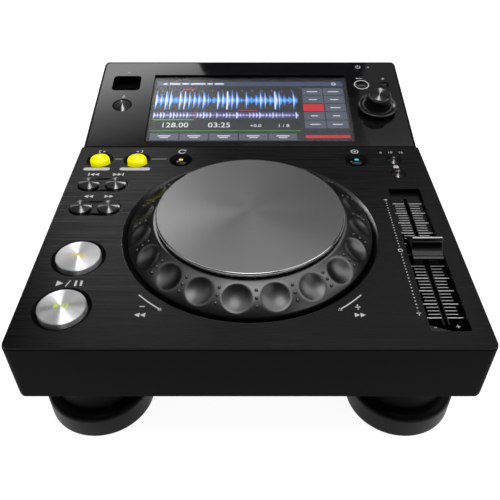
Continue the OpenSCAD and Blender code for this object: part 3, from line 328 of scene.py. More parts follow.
def draw_line(name, points):
    """A new mesh that starts as one vertex and is extruded from point to point, in metres."""
    deselect()
    bpy.ops.mesh.primitive_plane_add(size=MM)
    piece = name_piece(name)
    edit_all()
    bpy.ops.mesh.merge(type="CENTER")
    bpy.ops.transform.translate(value=points[0])
    for start, end in zip(points, points[1:]):
        step = Vector(end) - Vector(start)
        bpy.ops.mesh.extrude_region_move(TRANSFORM_OT_translate={"value": step})
    bpy.ops.mesh.select_all(action="SELECT")
    return piece


def close_mesh():
    """Merge the seam of the mesh in edit mode and turn its faces outwards."""
    bpy.ops.mesh.select_all(action="SELECT")
    bpy.ops.mesh.remove_doubles(threshold=WELD * MM)
    bpy.ops.mesh.normals_make_consistent(inside=False)
    bpy.ops.object.mode_set(mode="OBJECT")


def turn_shape(name, profile, steps=96):
    """A turned shape from a profile of radii and heights in millimetres, around the Z axis."""
    piece = draw_line(name, [(radius * MM, 0, height * MM) for radius, height in profile])
    bpy.ops.mesh.spin(steps=steps, angle=math.tau, center=(0, 0, 0), axis=(0, 0, 1))
    close_mesh()
    return piece


def apply_modifier(piece, kind, **settings):
    """Add a modifier, set it and apply it."""
    choose(piece)
    bpy.ops.object.modifier_add(type=kind)
    modifier = piece.modifiers[-1]
    for setting, value in settings.items():
        setattr(modifier, setting, value)
    bpy.ops.object.modifier_apply(modifier=modifier.name)


def round_edges(piece, width, angle=SHARP_ANGLE, segments=3, limit="ANGLE"):
    """Round the sharp edges of a piece, or the weighted ones, and shade its faces smoothly."""
    apply_modifier(piece, "BEVEL", width=width, segments=segments, limit_method=limit,
                   angle_limit=math.radians(angle), use_clamp_overlap=False)
    smooth_faces(piece)


def weigh_outer_edges(piece):
    """Give a bevel weight to the sharp edges that lie on the outside of a piece's box."""
    choose(piece)
    skin = 1.3 * MM
    low = [min(vertex.co[axis] for vertex in piece.data.vertices) for axis in range(3)]
    high = [max(vertex.co[axis] for vertex in piece.data.vertices) for axis in range(3)]
    bpy.ops.object.mode_set(mode="EDIT")
    bpy.ops.mesh.select_mode(type="EDGE")
    bpy.ops.mesh.select_all(action="DESELECT")
    bpy.ops.mesh.edges_select_sharp(sharpness=math.radians(SHARP_ANGLE))
    bpy.ops.object.mode_set(mode="OBJECT")
    for edge in piece.data.edges:
        ends = [piece.data.vertices[index].co for index in edge.vertices]
        outside = all(min(min(end[axis] - low[axis], high[axis] - end[axis]) for axis in range(3)) < skin
                      for end in ends)
        edge.select = edge.select and outside
    bpy.ops.object.mode_set(mode="EDIT")
    bpy.ops.transform.edge_bevelweight(value=1.0)
    bpy.ops.mesh.select_mode(type="VERT")
    bpy.ops.object.mode_set(mode="OBJECT")


def smooth_faces(piece, angle=38.0):
    """Shade a piece smoothly, with its flat faces kept flat."""
    choose(piece)
    bpy.ops.object.shade_smooth_by_angle(angle=math.radians(angle))
    apply_modifier(piece, "WEIGHTED_NORMAL", keep_sharp=True)


def settle(piece, place, tilt=0.0):
    """Put a piece in its place and keep that place in its mesh."""
    choose(piece)
    piece.location = place
    piece.rotation_euler = (tilt, 0, 0)
    bpy.ops.object.transform_apply(location=True, rotation=True, scale=True)


def copy_piece(piece, name):
    """A copy of a piece with a mesh of its own."""
    choose(piece)
    bpy.ops.object.duplicate(linked=False)
    return name_piece(name)


def dress(piece, material, body, slot, *nodes):
    """Give a piece its finish, its body and the CAD nodes that it stands for."""
    piece.data.materials.clear()
    piece.data.materials.append(material)
    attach(piece, body)
    if nodes:
        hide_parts(*nodes)


def soften_node(node, name, width, material, slot, outer_only=False):
    """A copy of a CAD node with merged faces and rounded edges, in the node's stead."""
    piece = copy_piece(NODES[node], name)
    for mark in [key for key in piece.keys() if key.startswith("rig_")]:
        del piece[mark]
    edit_all()
    bpy.ops.mesh.customdata_custom_splitnormals_clear()
    bpy.ops.mesh.remove_doubles(threshold=WELD * MM)
    bpy.ops.mesh.dissolve_limited(angle_limit=math.radians(0.3))
    bpy.ops.object.mode_set(mode="OBJECT")
    if outer_only:
        weigh_outer_edges(piece)
    round_edges(piece, width, limit="WEIGHT" if outer_only else "ANGLE")
    dress(piece, material, "root", slot, node)


# Finishes

def grey(tone):
    """A grey as a colour."""
    return (tone, tone, tone)


def scaled(colour, factor):
    """A lighter or darker tone of a colour."""
    return tuple(min(1.0, part * factor) for part in colour)


def set_stops(ramp, stops):
    """Set the places and colours of a colour ramp."""
    elements = ramp.color_ramp.elements
    while len(elements) < len(stops):
        elements.new(1.0)
    for element, (place, colour) in zip(elements, stops):
        element.position = place
        element.color = (*colour, 1.0)


class Wiring:
    """Adds nodes to a material, with plain values or links on their inputs."""

    def __init__(self, name, colour, roughness, metallic=0.0, sockets=None):
        self.material = bpy.data.materials.new(name)
        self.material.use_nodes = True
        self.tree = self.material.node_tree
        self.shader = self.tree.nodes["Principled BSDF"]
        self.shader.inputs["Base Color"].default_value = (*colour, 1.0)
        self.shader.inputs["Roughness"].default_value = roughness
        self.shader.inputs["Metallic"].default_value = metallic
        for socket, value in (sockets or {}).items():
            self.shader.inputs[socket].default_value = value

    def add(self, kind, inputs=None, **settings):
        node = self.tree.nodes.new(kind)
        for setting, value in settings.items():
            setattr(node, setting, value)
        for socket, value in (inputs or {}).items():
            if isinstance(value, bpy.types.NodeSocket):
                self.tree.links.new(value, node.inputs[socket])
            else:
                node.inputs[socket].default_value = value
        return node

    def feed(self, socket, output):
        self.tree.links.new(output, self.shader.inputs[socket])

    def ramp(self, factor, low, high):
        """A run from one colour to another over the middle of a noise."""
        node = self.add("ShaderNodeValToRGB", {"Fac": factor})
        set_stops(node, ((GRAIN_LOW, low), (GRAIN_HIGH, high)))
        return node.outputs["Color"]

    def spread(self, factor, low, high):
        """A run from one value to another over the middle of a noise."""
        node = self.add("ShaderNodeMapRange", {"Value": factor, "From Min": GRAIN_LOW, "From Max": GRAIN_HIGH,
                                               "To Min": low, "To Max": high})
        return node.outputs["Result"]

    def math(self, operation, *values):
        node = self.add("ShaderNodeMath", dict(enumerate(values)), operation=operation)
        return node.outputs["Value"]

    def grain(self, fineness, detail, stretch=(1, 1, 1), harshness=0.5):
        """A noise all over the piece."""
        place = self.add("ShaderNodeTexCoord").outputs["Object"]
        mapped = self.add("ShaderNodeMapping", {"Vector": place, "Scale": stretch}).outputs["Vector"]
        inputs = {"Vector": mapped, "Scale": fineness, "Detail": detail, "Roughness": harshness}
        return self.add("ShaderNodeTexNoise", inputs).outputs["Fac"]

    def noise_along(self, distance, fineness, detail):
        """A noise that changes with one distance alone."""
        inputs = {"W": distance, "Scale": fineness, "Detail": detail}
        return self.add("ShaderNodeTexNoise", inputs, noise_dimensions="1D").outputs["Fac"]

    def reach(self, centre):
        """The distance from an upright axis through a centre."""
        place = self.add("ShaderNodeTexCoord").outputs["Object"]
        flat = self.add("ShaderNodeMapping",
                        {"Vector": place, "Location": (-centre.x, -centre.y, 0), "Scale": (1, 1, 0)})
        length = self.add("ShaderNodeVectorMath", {0: flat.outputs["Vector"]}, operation="LENGTH")
        return length.outputs["Value"]

    def brush(self, axis):
        """Lay the fine grooves of the finish around an axis."""
        tangent = self.add("ShaderNodeTangent", direction_type="RADIAL", axis=axis)
        self.feed("Tangent", tangent.outputs["Tangent"])

    def raise_normal(self, height, strength, depth):
        node = self.add("ShaderNodeBump", {"Height": height, "Strength": strength, "Distance": depth})
        self.feed("Normal", node.outputs["Normal"])


def grained_finish(name, colour, roughness, metallic=0.0, shine=0.5, anisotropy=0.0, stretch=(1, 1, 1),
                   fineness=900.0, contrast=0.2, rough_spread=0.07, bump=0.12, depth=0.05, brushed=None):
    """Paint, plastic or metal with an uneven grain in its tone, gloss and surface."""
    wiring = Wiring(name, colour, roughness, metallic,
                    {"Specular IOR Level": shine, "Anisotropic": anisotropy})
    grain = wiring.grain(fineness, 4.0, stretch, 0.6)
    wiring.feed("Base Color", wiring.ramp(grain, scaled(colour, 1 - contrast), scaled(colour, 1 + contrast)))
    wiring.feed("Roughness", wiring.spread(grain, roughness - rough_spread, roughness + rough_spread))
    wiring.raise_normal(grain, bump, depth * MM)
    if brushed:
        wiring.brush(brushed)
    return wiring.material


def spun_finish(name, colour, roughness, centre, groove=0.3, contrast=0.15, anisotropy=0.7, bump=0.1,
                metallic=1.0, shine=0.5, rough_spread=0.05, detail=3.0):
    """A face that was turned about a centre, with fine rings."""
    wiring = Wiring(name, colour, roughness, metallic,
                    {"Anisotropic": anisotropy, "Anisotropic Rotation": 0.25, "Specular IOR Level": shine})
    rings = wiring.noise_along(wiring.reach(centre), 1.0 / (groove * MM), detail)
    if contrast:
        wiring.feed("Base Color",
                    wiring.ramp(rings, scaled(colour, 1 - contrast), scaled(colour, 1 + contrast)))
    wiring.feed("Roughness", wiring.spread(rings, roughness - rough_spread, roughness + rough_spread))
    wiring.brush("Z")
    wiring.raise_normal(rings, bump, 0.02 * MM)
    return wiring.material


def spun_key(node, colour, place):
    """The spun metal of one bright key, about the key's own middle."""
    return spun_finish("spun_" + node, colour, 0.42, place, 0.35, 0.12, 1.0, 0.05)


def turned_key(node, place):
    """The finely turned black face of one small key, about the key's own middle."""
    return spun_finish("turned_" + node, grey(0.0006), 0.38, place, 0.4, 0.0, 1.0, 0.04,
                       metallic=0.0, shine=0.25, rough_spread=0.02, detail=2.0)


def lit_finish(name, colour, strength=1.0):
    """A lit part of the screen or of a key, with its fine grid of dots."""
    dot = 0.25 * MM
    gap = 0.02 * MM
    wiring = Wiring(name, scaled(colour, 0.3), 0.4, 0.0, {"Emission Strength": strength})
    place = wiring.add("ShaderNodeTexCoord").outputs["Object"]
    turned = wiring.add("ShaderNodeMapping", {"Vector": place, "Rotation": (-PANEL_TILT, 0, 0)})
    dots = wiring.add("ShaderNodeTexBrick",
                      {"Vector": turned.outputs["Vector"], "Color1": (*colour, 1),
                       "Color2": (*scaled(colour, 0.94), 1), "Mortar": (*scaled(colour, 0.7), 1),
                       "Scale": 1.0, "Mortar Size": gap, "Brick Width": dot, "Row Height": dot}, offset=0.0)
    wiring.feed("Emission Color", dots.outputs["Color"])
    return wiring.material


def wave_finish(name, colour, quiet, beats, fullness):
    """A strip of the screen that shows a sound wave as fine bars, along the strip's own map."""
    wiring = Wiring(name, quiet, 0.4, 0.0, {"Emission Strength": 1.0})
    spot = wiring.add("ShaderNodeTexCoord").outputs["UV"]
    parts = wiring.add("ShaderNodeSeparateXYZ", {"Vector": spot})
    bars = beats * 9
    bar = wiring.math("FLOOR", wiring.math("MULTIPLY", parts.outputs["X"], bars))
    along = wiring.math("DIVIDE", bar, bars)
    fine = wiring.noise_along(along, bars * 0.7, 2.0)
    swell = wiring.noise_along(along, beats * 0.3, 1.0)
    beat_place = wiring.math("MULTIPLY", along, beats)
    phase = wiring.math("FRACT", beat_place)
    fading = wiring.math("POWER", wiring.math("SUBTRACT", 1.0, phase), 2.2)
    count = wiring.math("FLOOR", beat_place)
    stress = wiring.add("ShaderNodeTexWhiteNoise", {"W": count}, noise_dimensions="1D").outputs["Value"]
    beat = wiring.math("MULTIPLY", fading, wiring.math("ADD", stress, 0.25))
    loud = wiring.math("MULTIPLY", fine, swell)
    height = wiring.math("MULTIPLY", wiring.math("MULTIPLY_ADD", beat, 0.8, 0.15), loud)
    full = wiring.math("MULTIPLY", height, fullness)
    away = wiring.math("ABSOLUTE", wiring.math("SUBTRACT", parts.outputs["Y"], 0.5))
    ramp = wiring.add("ShaderNodeValToRGB", {"Fac": wiring.math("SUBTRACT", full, away)})
    set_stops(ramp, ((0.0, quiet), (0.008, colour), (0.13, scaled(colour, 1.6)), (0.3, (0.75, 0.85, 1.0))))
    wiring.feed("Emission Color", ramp.outputs["Color"])
    return wiring.material


def glass_finish(name):
    """Clear cover glass with faint smudges."""
    wiring = Wiring(name, grey(1.0), 0.02, 0.0, {"Transmission Weight": 1.0, "IOR": 1.14})
    wiring.feed("Roughness", wiring.spread(wiring.grain(45.0, 5.0), 0.12, 0.15))
    return wiring.material


def lit_key_finish(name, colour):
    """Tinted plastic over a lamp, with an uneven glow."""
    wiring = Wiring(name, colour, 0.25, 0.0, {"Emission Strength": 0.65, "Subsurface Weight": 0.2})
    grain = wiring.grain(260.0, 3.0)
    tone = wiring.ramp(grain, scaled(colour, 0.88), colour)
    wiring.feed("Base Color", tone)
    wiring.feed("Emission Color", tone)
    wiring.feed("Roughness", wiring.spread(grain, 0.2, 0.3))
    return wiring.material


FINISHES = {}


def make_finishes():
    """Make the finishes that the pieces and the CAD nodes share, the nodes' by the names of their slots."""
    hue = bpy.context.scene.player_colours
    case = tuple(hue.case)
    gloss = tuple(hue.gloss)
    steel = tuple(hue.steel)
    jog_middle = deck_point(0, JOG_Y)
    even = {"contrast": 0.04, "rough_spread": 0.02, "bump": 0.01}
    FINISHES.update({
        "case_plastic": grained_finish("matte_case_plastic", case, 0.62, shine=0.06, fineness=2600.0,
                                       bump=0.25, depth=0.04),
        "deck_hairline": grained_finish("brushed_deck_sheet", tuple(hue.deck), 0.32, shine=0.15,
                                        anisotropy=0.75, stretch=(0.015, 1, 1), fineness=1700.0, contrast=0.6,
                                        rough_spread=0.12, bump=0.3, depth=0.04, brushed="X"),
        "fascia_gloss": grained_finish("glossy_fascia", scaled(gloss, 2.3), 0.05, shine=0.185, fineness=120.0,
                                       rough_spread=0.02, bump=0.01, depth=0.02),
        "screen_glass": glass_finish("screen_cover_glass"),
        "display": grained_finish("dark_screen", (0.012, 0.012, 0.014), 0.4, fineness=300.0),
        "bright_steel": grained_finish("brushed_steel", steel, 0.3, 1.0, stretch=(1, 0.05, 1),
                                       fineness=1500.0, contrast=0.12),
        "base_steel": grained_finish("painted_base_steel", (0.02, 0.02, 0.021), 0.5, fineness=1400.0,
                                     bump=0.3),
        # Nearly black steel; on the fader track, carriage and memory socket it is painted shade for the dark
        # slot and recess
        "dark_steel": grained_finish("dark_steel_and_painted_shade", (0.02, 0.02, 0.021), 0.5, 1.0, fineness=1500.0),
        # The foot columns' plastic, darker than the case as painted shade under the body
        "foot_plastic": grained_finish("foot_plastic_painted_shade", scaled(case, 0.6), 0.5, shine=0.06,
                                       fineness=1800.0, bump=0.2),
        "foot_rubber": grained_finish("foot_rubber", tuple(hue.rubber), 0.4, shine=0.1, fineness=1600.0,
                                      bump=0.15),
        "jog_metal": grained_finish("satin_jog_ring", tuple(hue.ring), 0.3, 1.0, fineness=2400.0, **even),
        "hole_bevel": grained_finish("satin_hole_bevel", grey(0.06), 0.3, 1.0, fineness=2400.0, **even),
        "platter_metal": spun_finish("spun_platter", tuple(hue.platter), 0.38, jog_middle, 0.5, 0.08, 0.6),
        "rim_chrome": spun_finish("polished_rim", (0.65, 0.65, 0.655), 0.14, jog_middle, 0.2, 0.05, 0.2,
                                  0.03),
        "brass": grained_finish("turned_brass", (0.6, 0.42, 0.14), 0.3, 1.0, fineness=1200.0),
        "key_silver": grained_finish("silver_key", steel, 0.3, 1.0, fineness=1500.0),
        "key_yellow": lit_key_finish("lit_yellow_key", tuple(hue.yellow)),
        "key_gloss": grained_finish("glossy_key", gloss, 0.08, shine=0.25, fineness=400.0, rough_spread=0.03,
                                    bump=0.02),
        "trim_black": grained_finish("satin_black_trim", (0.007, 0.007, 0.0073), 0.28, shine=0.25,
                                     fineness=1200.0, contrast=0.1, bump=0.02),
        "cap_satin": grained_finish("satin_fader_cap", (0.05, 0.05, 0.051), 0.17, 1.0, fineness=2500.0,
                                    contrast=0.06, rough_spread=0.03, bump=0.01),
        "knob_gloss": grained_finish("glossy_knob", (0.014, 0.014, 0.0142), 0.2, shine=0.8, fineness=2000.0,
                                     rough_spread=0.03, bump=0.01),
        "dish_black": grained_finish("black_dish", (0.003, 0.003, 0.0031), 0.5, shine=0.08, fineness=1500.0,
                                     bump=0.04),
        # Grey of the oblong dishes, lighter than the deck: painted light on the shaded floor between the keys
        "dish_grey": grained_finish("grey_dish_painted_light", (0.035, 0.035, 0.0355), 0.4, shine=0.3, fineness=1500.0,
                                    bump=0.04),
        "board": grained_finish("circuit_board", (0.012, 0.1, 0.045), 0.45, fineness=500.0, contrast=0.4),
        "switch_plastic": grained_finish("switch_plastic", (0.03, 0.03, 0.032), 0.5, fineness=1500.0),
        "sensor_film": grained_finish("sensor_film", (0.12, 0.09, 0.05), 0.35, fineness=700.0),
        "lamp_clear": grained_finish("clear_lamp", grey(0.5), 0.25, fineness=900.0),
        "ink": grained_finish("printed_ink", tuple(hue.ink), 0.6, fineness=3000.0, contrast=0.08, bump=0.1),
        "faint_ink": grained_finish("faint_ink", scaled(hue.ink, 0.75), 0.6, fineness=3000.0, contrast=0.08),
    })


# Flat marks

class Marks:
    """Flat marks gathered in one mesh, drawn in millimetres on the face that carries them."""

    def __init__(self, name):
        deselect()
        bpy.ops.mesh.primitive_plane_add(size=MM)
        self.piece = name_piece(name)
        edit_all()
        bpy.ops.mesh.delete(type="VERT")

    def bar(self, x, y, width, height, turn=0.0):
        """A bar from its middle and size, turned anticlockwise by some degrees."""
        middle = (x * MM, y * MM, 0)
        bpy.ops.mesh.select_all(action="DESELECT")
        bpy.ops.mesh.primitive_plane_add(size=MM, location=middle)
        bpy.ops.transform.resize(value=(width, height, 1), center_override=middle)
        if turn:
            bpy.ops.transform.rotate(value=-math.radians(turn), orient_axis="Z", center_override=middle)

    def bars(self, *rows):
        """Several bars."""
        for row in rows:
            self.bar(*row)

    def disc(self, x, y, radius, sides=32):
        """A round dot."""
        bpy.ops.mesh.primitive_circle_add(
            vertices=sides, radius=radius * MM, fill_type="NGON", location=(x * MM, y * MM, 0))

    def triangle(self, x, y, radius, turn=0.0):
        """An arrow head that points to the right, turned anticlockwise by some degrees."""
        bpy.ops.mesh.primitive_circle_add(
            vertices=3, radius=radius * MM, fill_type="NGON", location=(x * MM, y * MM, 0),
            rotation=(0, 0, math.radians(turn - 90)))

    def arc(self, x, y, inner, outer, start=0.0, sweep=360.0, steps=32):
        """A ring, or a part of one, between two radii."""
        way = Vector((math.cos(math.radians(start)), math.sin(math.radians(start)), 0))
        bpy.ops.mesh.select_all(action="DESELECT")
        bpy.ops.mesh.primitive_plane_add(size=MM, location=(x * MM, y * MM, 0))
        bpy.ops.mesh.merge(type="CENTER")
        bpy.ops.transform.translate(value=way * inner * MM)
        bpy.ops.mesh.extrude_region_move(TRANSFORM_OT_translate={"value": way * (outer - inner) * MM})
        bpy.ops.mesh.select_linked()
        bpy.ops.mesh.spin(steps=steps, angle=-math.radians(sweep), center=(x * MM, y * MM, 0), axis=(0, 0, 1))

    def digits(self, body, size, x, y):
        """A row of figures around a middle."""
        bpy.ops.object.mode_set(mode="OBJECT")
        deselect()
        bpy.ops.object.text_add(location=(x * MM, y * MM, 0))
        text = bpy.context.object
        text.data.body = body
        text.data.size = size * MM
        text.data.align_x = "CENTER"
        text.data.align_y = "CENTER"
        text.data.resolution_u = 4
        bpy.ops.object.convert(target="MESH")
        self.piece.select_set(True)
        bpy.context.view_layer.objects.active = self.piece
        bpy.ops.object.join()
        bpy.ops.object.mode_set(mode="EDIT")

    def finish(self, place, tilt, material, body, slot, height=None):
        """Give the marks their thickness, and put them in their place as one piece."""
        bpy.ops.mesh.select_all(action="SELECT")
        bpy.ops.mesh.remove_doubles(threshold=MARK_WELD * MM)
        bpy.ops.object.mode_set(mode="OBJECT")
        self.face_up()
        rise = height or bpy.context.scene.player_sizes.print_height
        apply_modifier(self.piece, "SOLIDIFY", thickness=rise, offset=1.0)
        settle(self.piece, place, tilt)
        dress(self.piece, material, body, slot)

    def face_up(self):
        """Turn the faces that look down."""
        choose(self.piece)
        bpy.ops.object.mode_set(mode="EDIT")
        bpy.ops.mesh.select_all(action="DESELECT")
        bpy.ops.object.mode_set(mode="OBJECT")
        for face in self.piece.data.polygons:
            face.select = face.normal.z < 0
        bpy.ops.object.mode_set(mode="EDIT")
        bpy.ops.mesh.select_mode(type="FACE")
        bpy.ops.mesh.flip_normals()
        bpy.ops.mesh.select_mode(type="VERT")
        bpy.ops.object.mode_set(mode="OBJECT")


# Pieces

class PLAYER_OT_case(bpy.types.Operator):
    """Round the edges of the case, the deck sheet and the base, and give every CAD node its finish"""

    bl_idname = "player.case"
    bl_label = "Case"

    def execute(self, context):
        sizes = context.scene.player_sizes
        make_finishes()
        for piece in NODES.values():
            slot = piece.material_slots[0]
            slot.material = FINISHES[slot.material.name.split(".")[0]]
        softened = (
            ("deck_case", "case_shell", sizes.case_round, "case_plastic"),
            ("display_case", "display_shell", sizes.case_round, "case_plastic"),
            ("deck_sheet", "deck_panel", sizes.sheet_round, "deck_hairline"),
            ("display_fascia", "fascia_panel", sizes.sheet_round, "fascia_gloss"),
            ("base_plate", "base_cover", sizes.sheet_round, "base_steel"),
        )
        for node, name, width, slot in softened:
            soften_node(node, name, width, FINISHES[slot], slot, outer_only=node == "deck_case")
        return {"FINISHED"}


class PLAYER_OT_screen(bpy.types.Operator):
    """Add the screen's cover glass and a plain picture of tiles, figures and a wave"""

    bl_idname = "player.screen"
    bl_label = "Screen"

    def execute(self, context):
        hue = context.scene.player_colours
        night = (0.016, 0.017, 0.022)
        dusk = (0.03, 0.03, 0.075)
        wave = wave_finish("screen_wave", tuple(hue.lit_blue), night, 30.0, 2.4)
        overview = wave_finish("screen_overview", (0.2, 0.19, 0.5), dusk, 44.0, 2.6)
        tiles = [(x, u, *TILE_SIZE) for u in TILE_ROWS for x in TILE_COLUMNS]
        tiles += [(x, FOOT_TILE_U, *FOOT_TILE_SIZE) for x in FOOT_TILES]
        self.add_cover()
        self.put_bars("screen_back", lit_finish("screen_backdrop", night), 0,
                      (0, PICTURE_U, PICTURE_W, PICTURE_H))
        self.put_bars("screen_title_bar", lit_finish("screen_title", (0.045, 0.062, 0.12)), 1,
                      (0, TITLE_U, PICTURE_W, 6.0))
        self.put_bars("screen_tiles", lit_finish("screen_tile", tuple(hue.slate)), 1, *tiles)
        self.put_bars("screen_wave_strip", wave, 1, (WAVE_X, WAVE_U, WAVE_W, WAVE_H))
        self.put_bars("screen_overview_strip", overview, 1, (WAVE_X, OVERVIEW_U, WAVE_W, 7.4))
        self.put_figures(lit_finish("screen_figure", (0.78, 0.8, 0.84)))
        self.put_bars("screen_red_marks", lit_finish("screen_red", tuple(hue.lit_red)), 2,
                      (TILE_COLUMNS[0], TILE_ROWS[2], *TILE_SIZE), (54.9, FOOT_TILE_U, 31.2, 3.2),
                      (-46.0, 68.4, 9.0, 1.4), (-2.0, 43.0, 14.0, 0.7), (-40.0, OVERVIEW_U, 0.5, 8.4))
        self.put_bars("screen_green_marks", lit_finish("screen_green", (0.05, 0.5, 0.08)), 2,
                      (WAVE_X, 20.0, WAVE_W, 0.4), (-55.5, 32.2, 29.6, 0.8))
        return {"FINISHED"}

    def add_cover(self):
        """The cover glass: a thin plate with rounded edges."""
        deselect()
        lap = 1.2
        middle_u = (SCREEN_LOW_U + SCREEN_HIGH_U) / 2
        bpy.ops.mesh.primitive_plane_add(size=1)
        cover = name_piece("screen_cover")
        cover.scale = ((SCREEN_W + 2 * lap) * MM, (SCREEN_HIGH_U - SCREEN_LOW_U + 2 * lap) * MM, 1)
        bpy.ops.object.transform_apply(location=True, rotation=True, scale=True)
        apply_modifier(cover, "SOLIDIFY", thickness=(GLASS_TOP - GLASS_LOW) * MM, offset=1.0)
        round_edges(cover, 0.1 * MM)
        settle(cover, panel_point(0, middle_u, GLASS_LOW), PANEL_TILT)
        dress(cover, FINISHES["screen_glass"], "root", "screen_glass", "screen_glass")

    def put(self, sheet, material, layer):
        """Lay a sheet of marks on its layer of the picture."""
        place = panel_point(0, 0, PICTURE_N + LAYER_STEP * layer)
        sheet.finish(place, PANEL_TILT, material, "root", "display", LAYER_T * MM)

    def put_bars(self, name, material, layer, *bars):
        """A sheet of plain bars."""
        sheet = Marks(name)
        sheet.bars(*bars)
        self.put(sheet, material, layer)

    def put_figures(self, material):
        """Plain figures, rows of bars in the stead of words, and signs."""
        left_x = -66.0
        word_gap = 1.6
        figure_h = 7.4
        small_h = 4.6
        sheet = Marks("screen_figures")
        for figure, size, x, u in (("128.00", figure_h, -54.0, 26.0), ("03:25", figure_h, -22.0, 26.0),
                                   ("+0.0", small_h, 4.0, 25.4), ("1 / 8", small_h, 24.0, 25.4)):
            sheet.digits(figure, size, x, u)
        for u, length in zip(TILE_ROWS, (8.0, 6.0, 7.4, 5.0, 7.0)):
            for x in TILE_COLUMNS:
                sheet.bar(x, u, length, 0.8)
        for x in FOOT_TILES:
            sheet.bars((x, FOOT_TILE_U + 0.8, 9.0, 0.8), (x, FOOT_TILE_U - 1.0, 6.0, 0.6))
        word_x = left_x
        for length in (3.0, 8.0, 5.0, 11.0, 4.0, 7.0):
            sheet.bar(word_x + length / 2, TITLE_U, length, 1.5)
            word_x += length + word_gap
        sheet.arc(64.0, TITLE_U, 1.1, 1.7)
        sheet.bar(WAVE_X, WAVE_U, 0.5, WAVE_H)
        for count in range(14):
            sheet.bar(left_x + 7.5 * count, 66.6, 0.3, 1.2)
        self.put(sheet, material, 2)


def ring_face(part):
    """Radius and height of the ring's slightly round face, from its inner edge at 0 to its lip at 1."""
    bulge = RING_BULGE * 4 * part * (1 - part)
    radius = RING_IN_R + part * (RING_R - RING_IN_R) + bulge * math.sin(RING_SLOPE)
    return radius, RING_TOP - part * (RING_TOP - RING_LIP) + bulge * math.cos(RING_SLOPE)


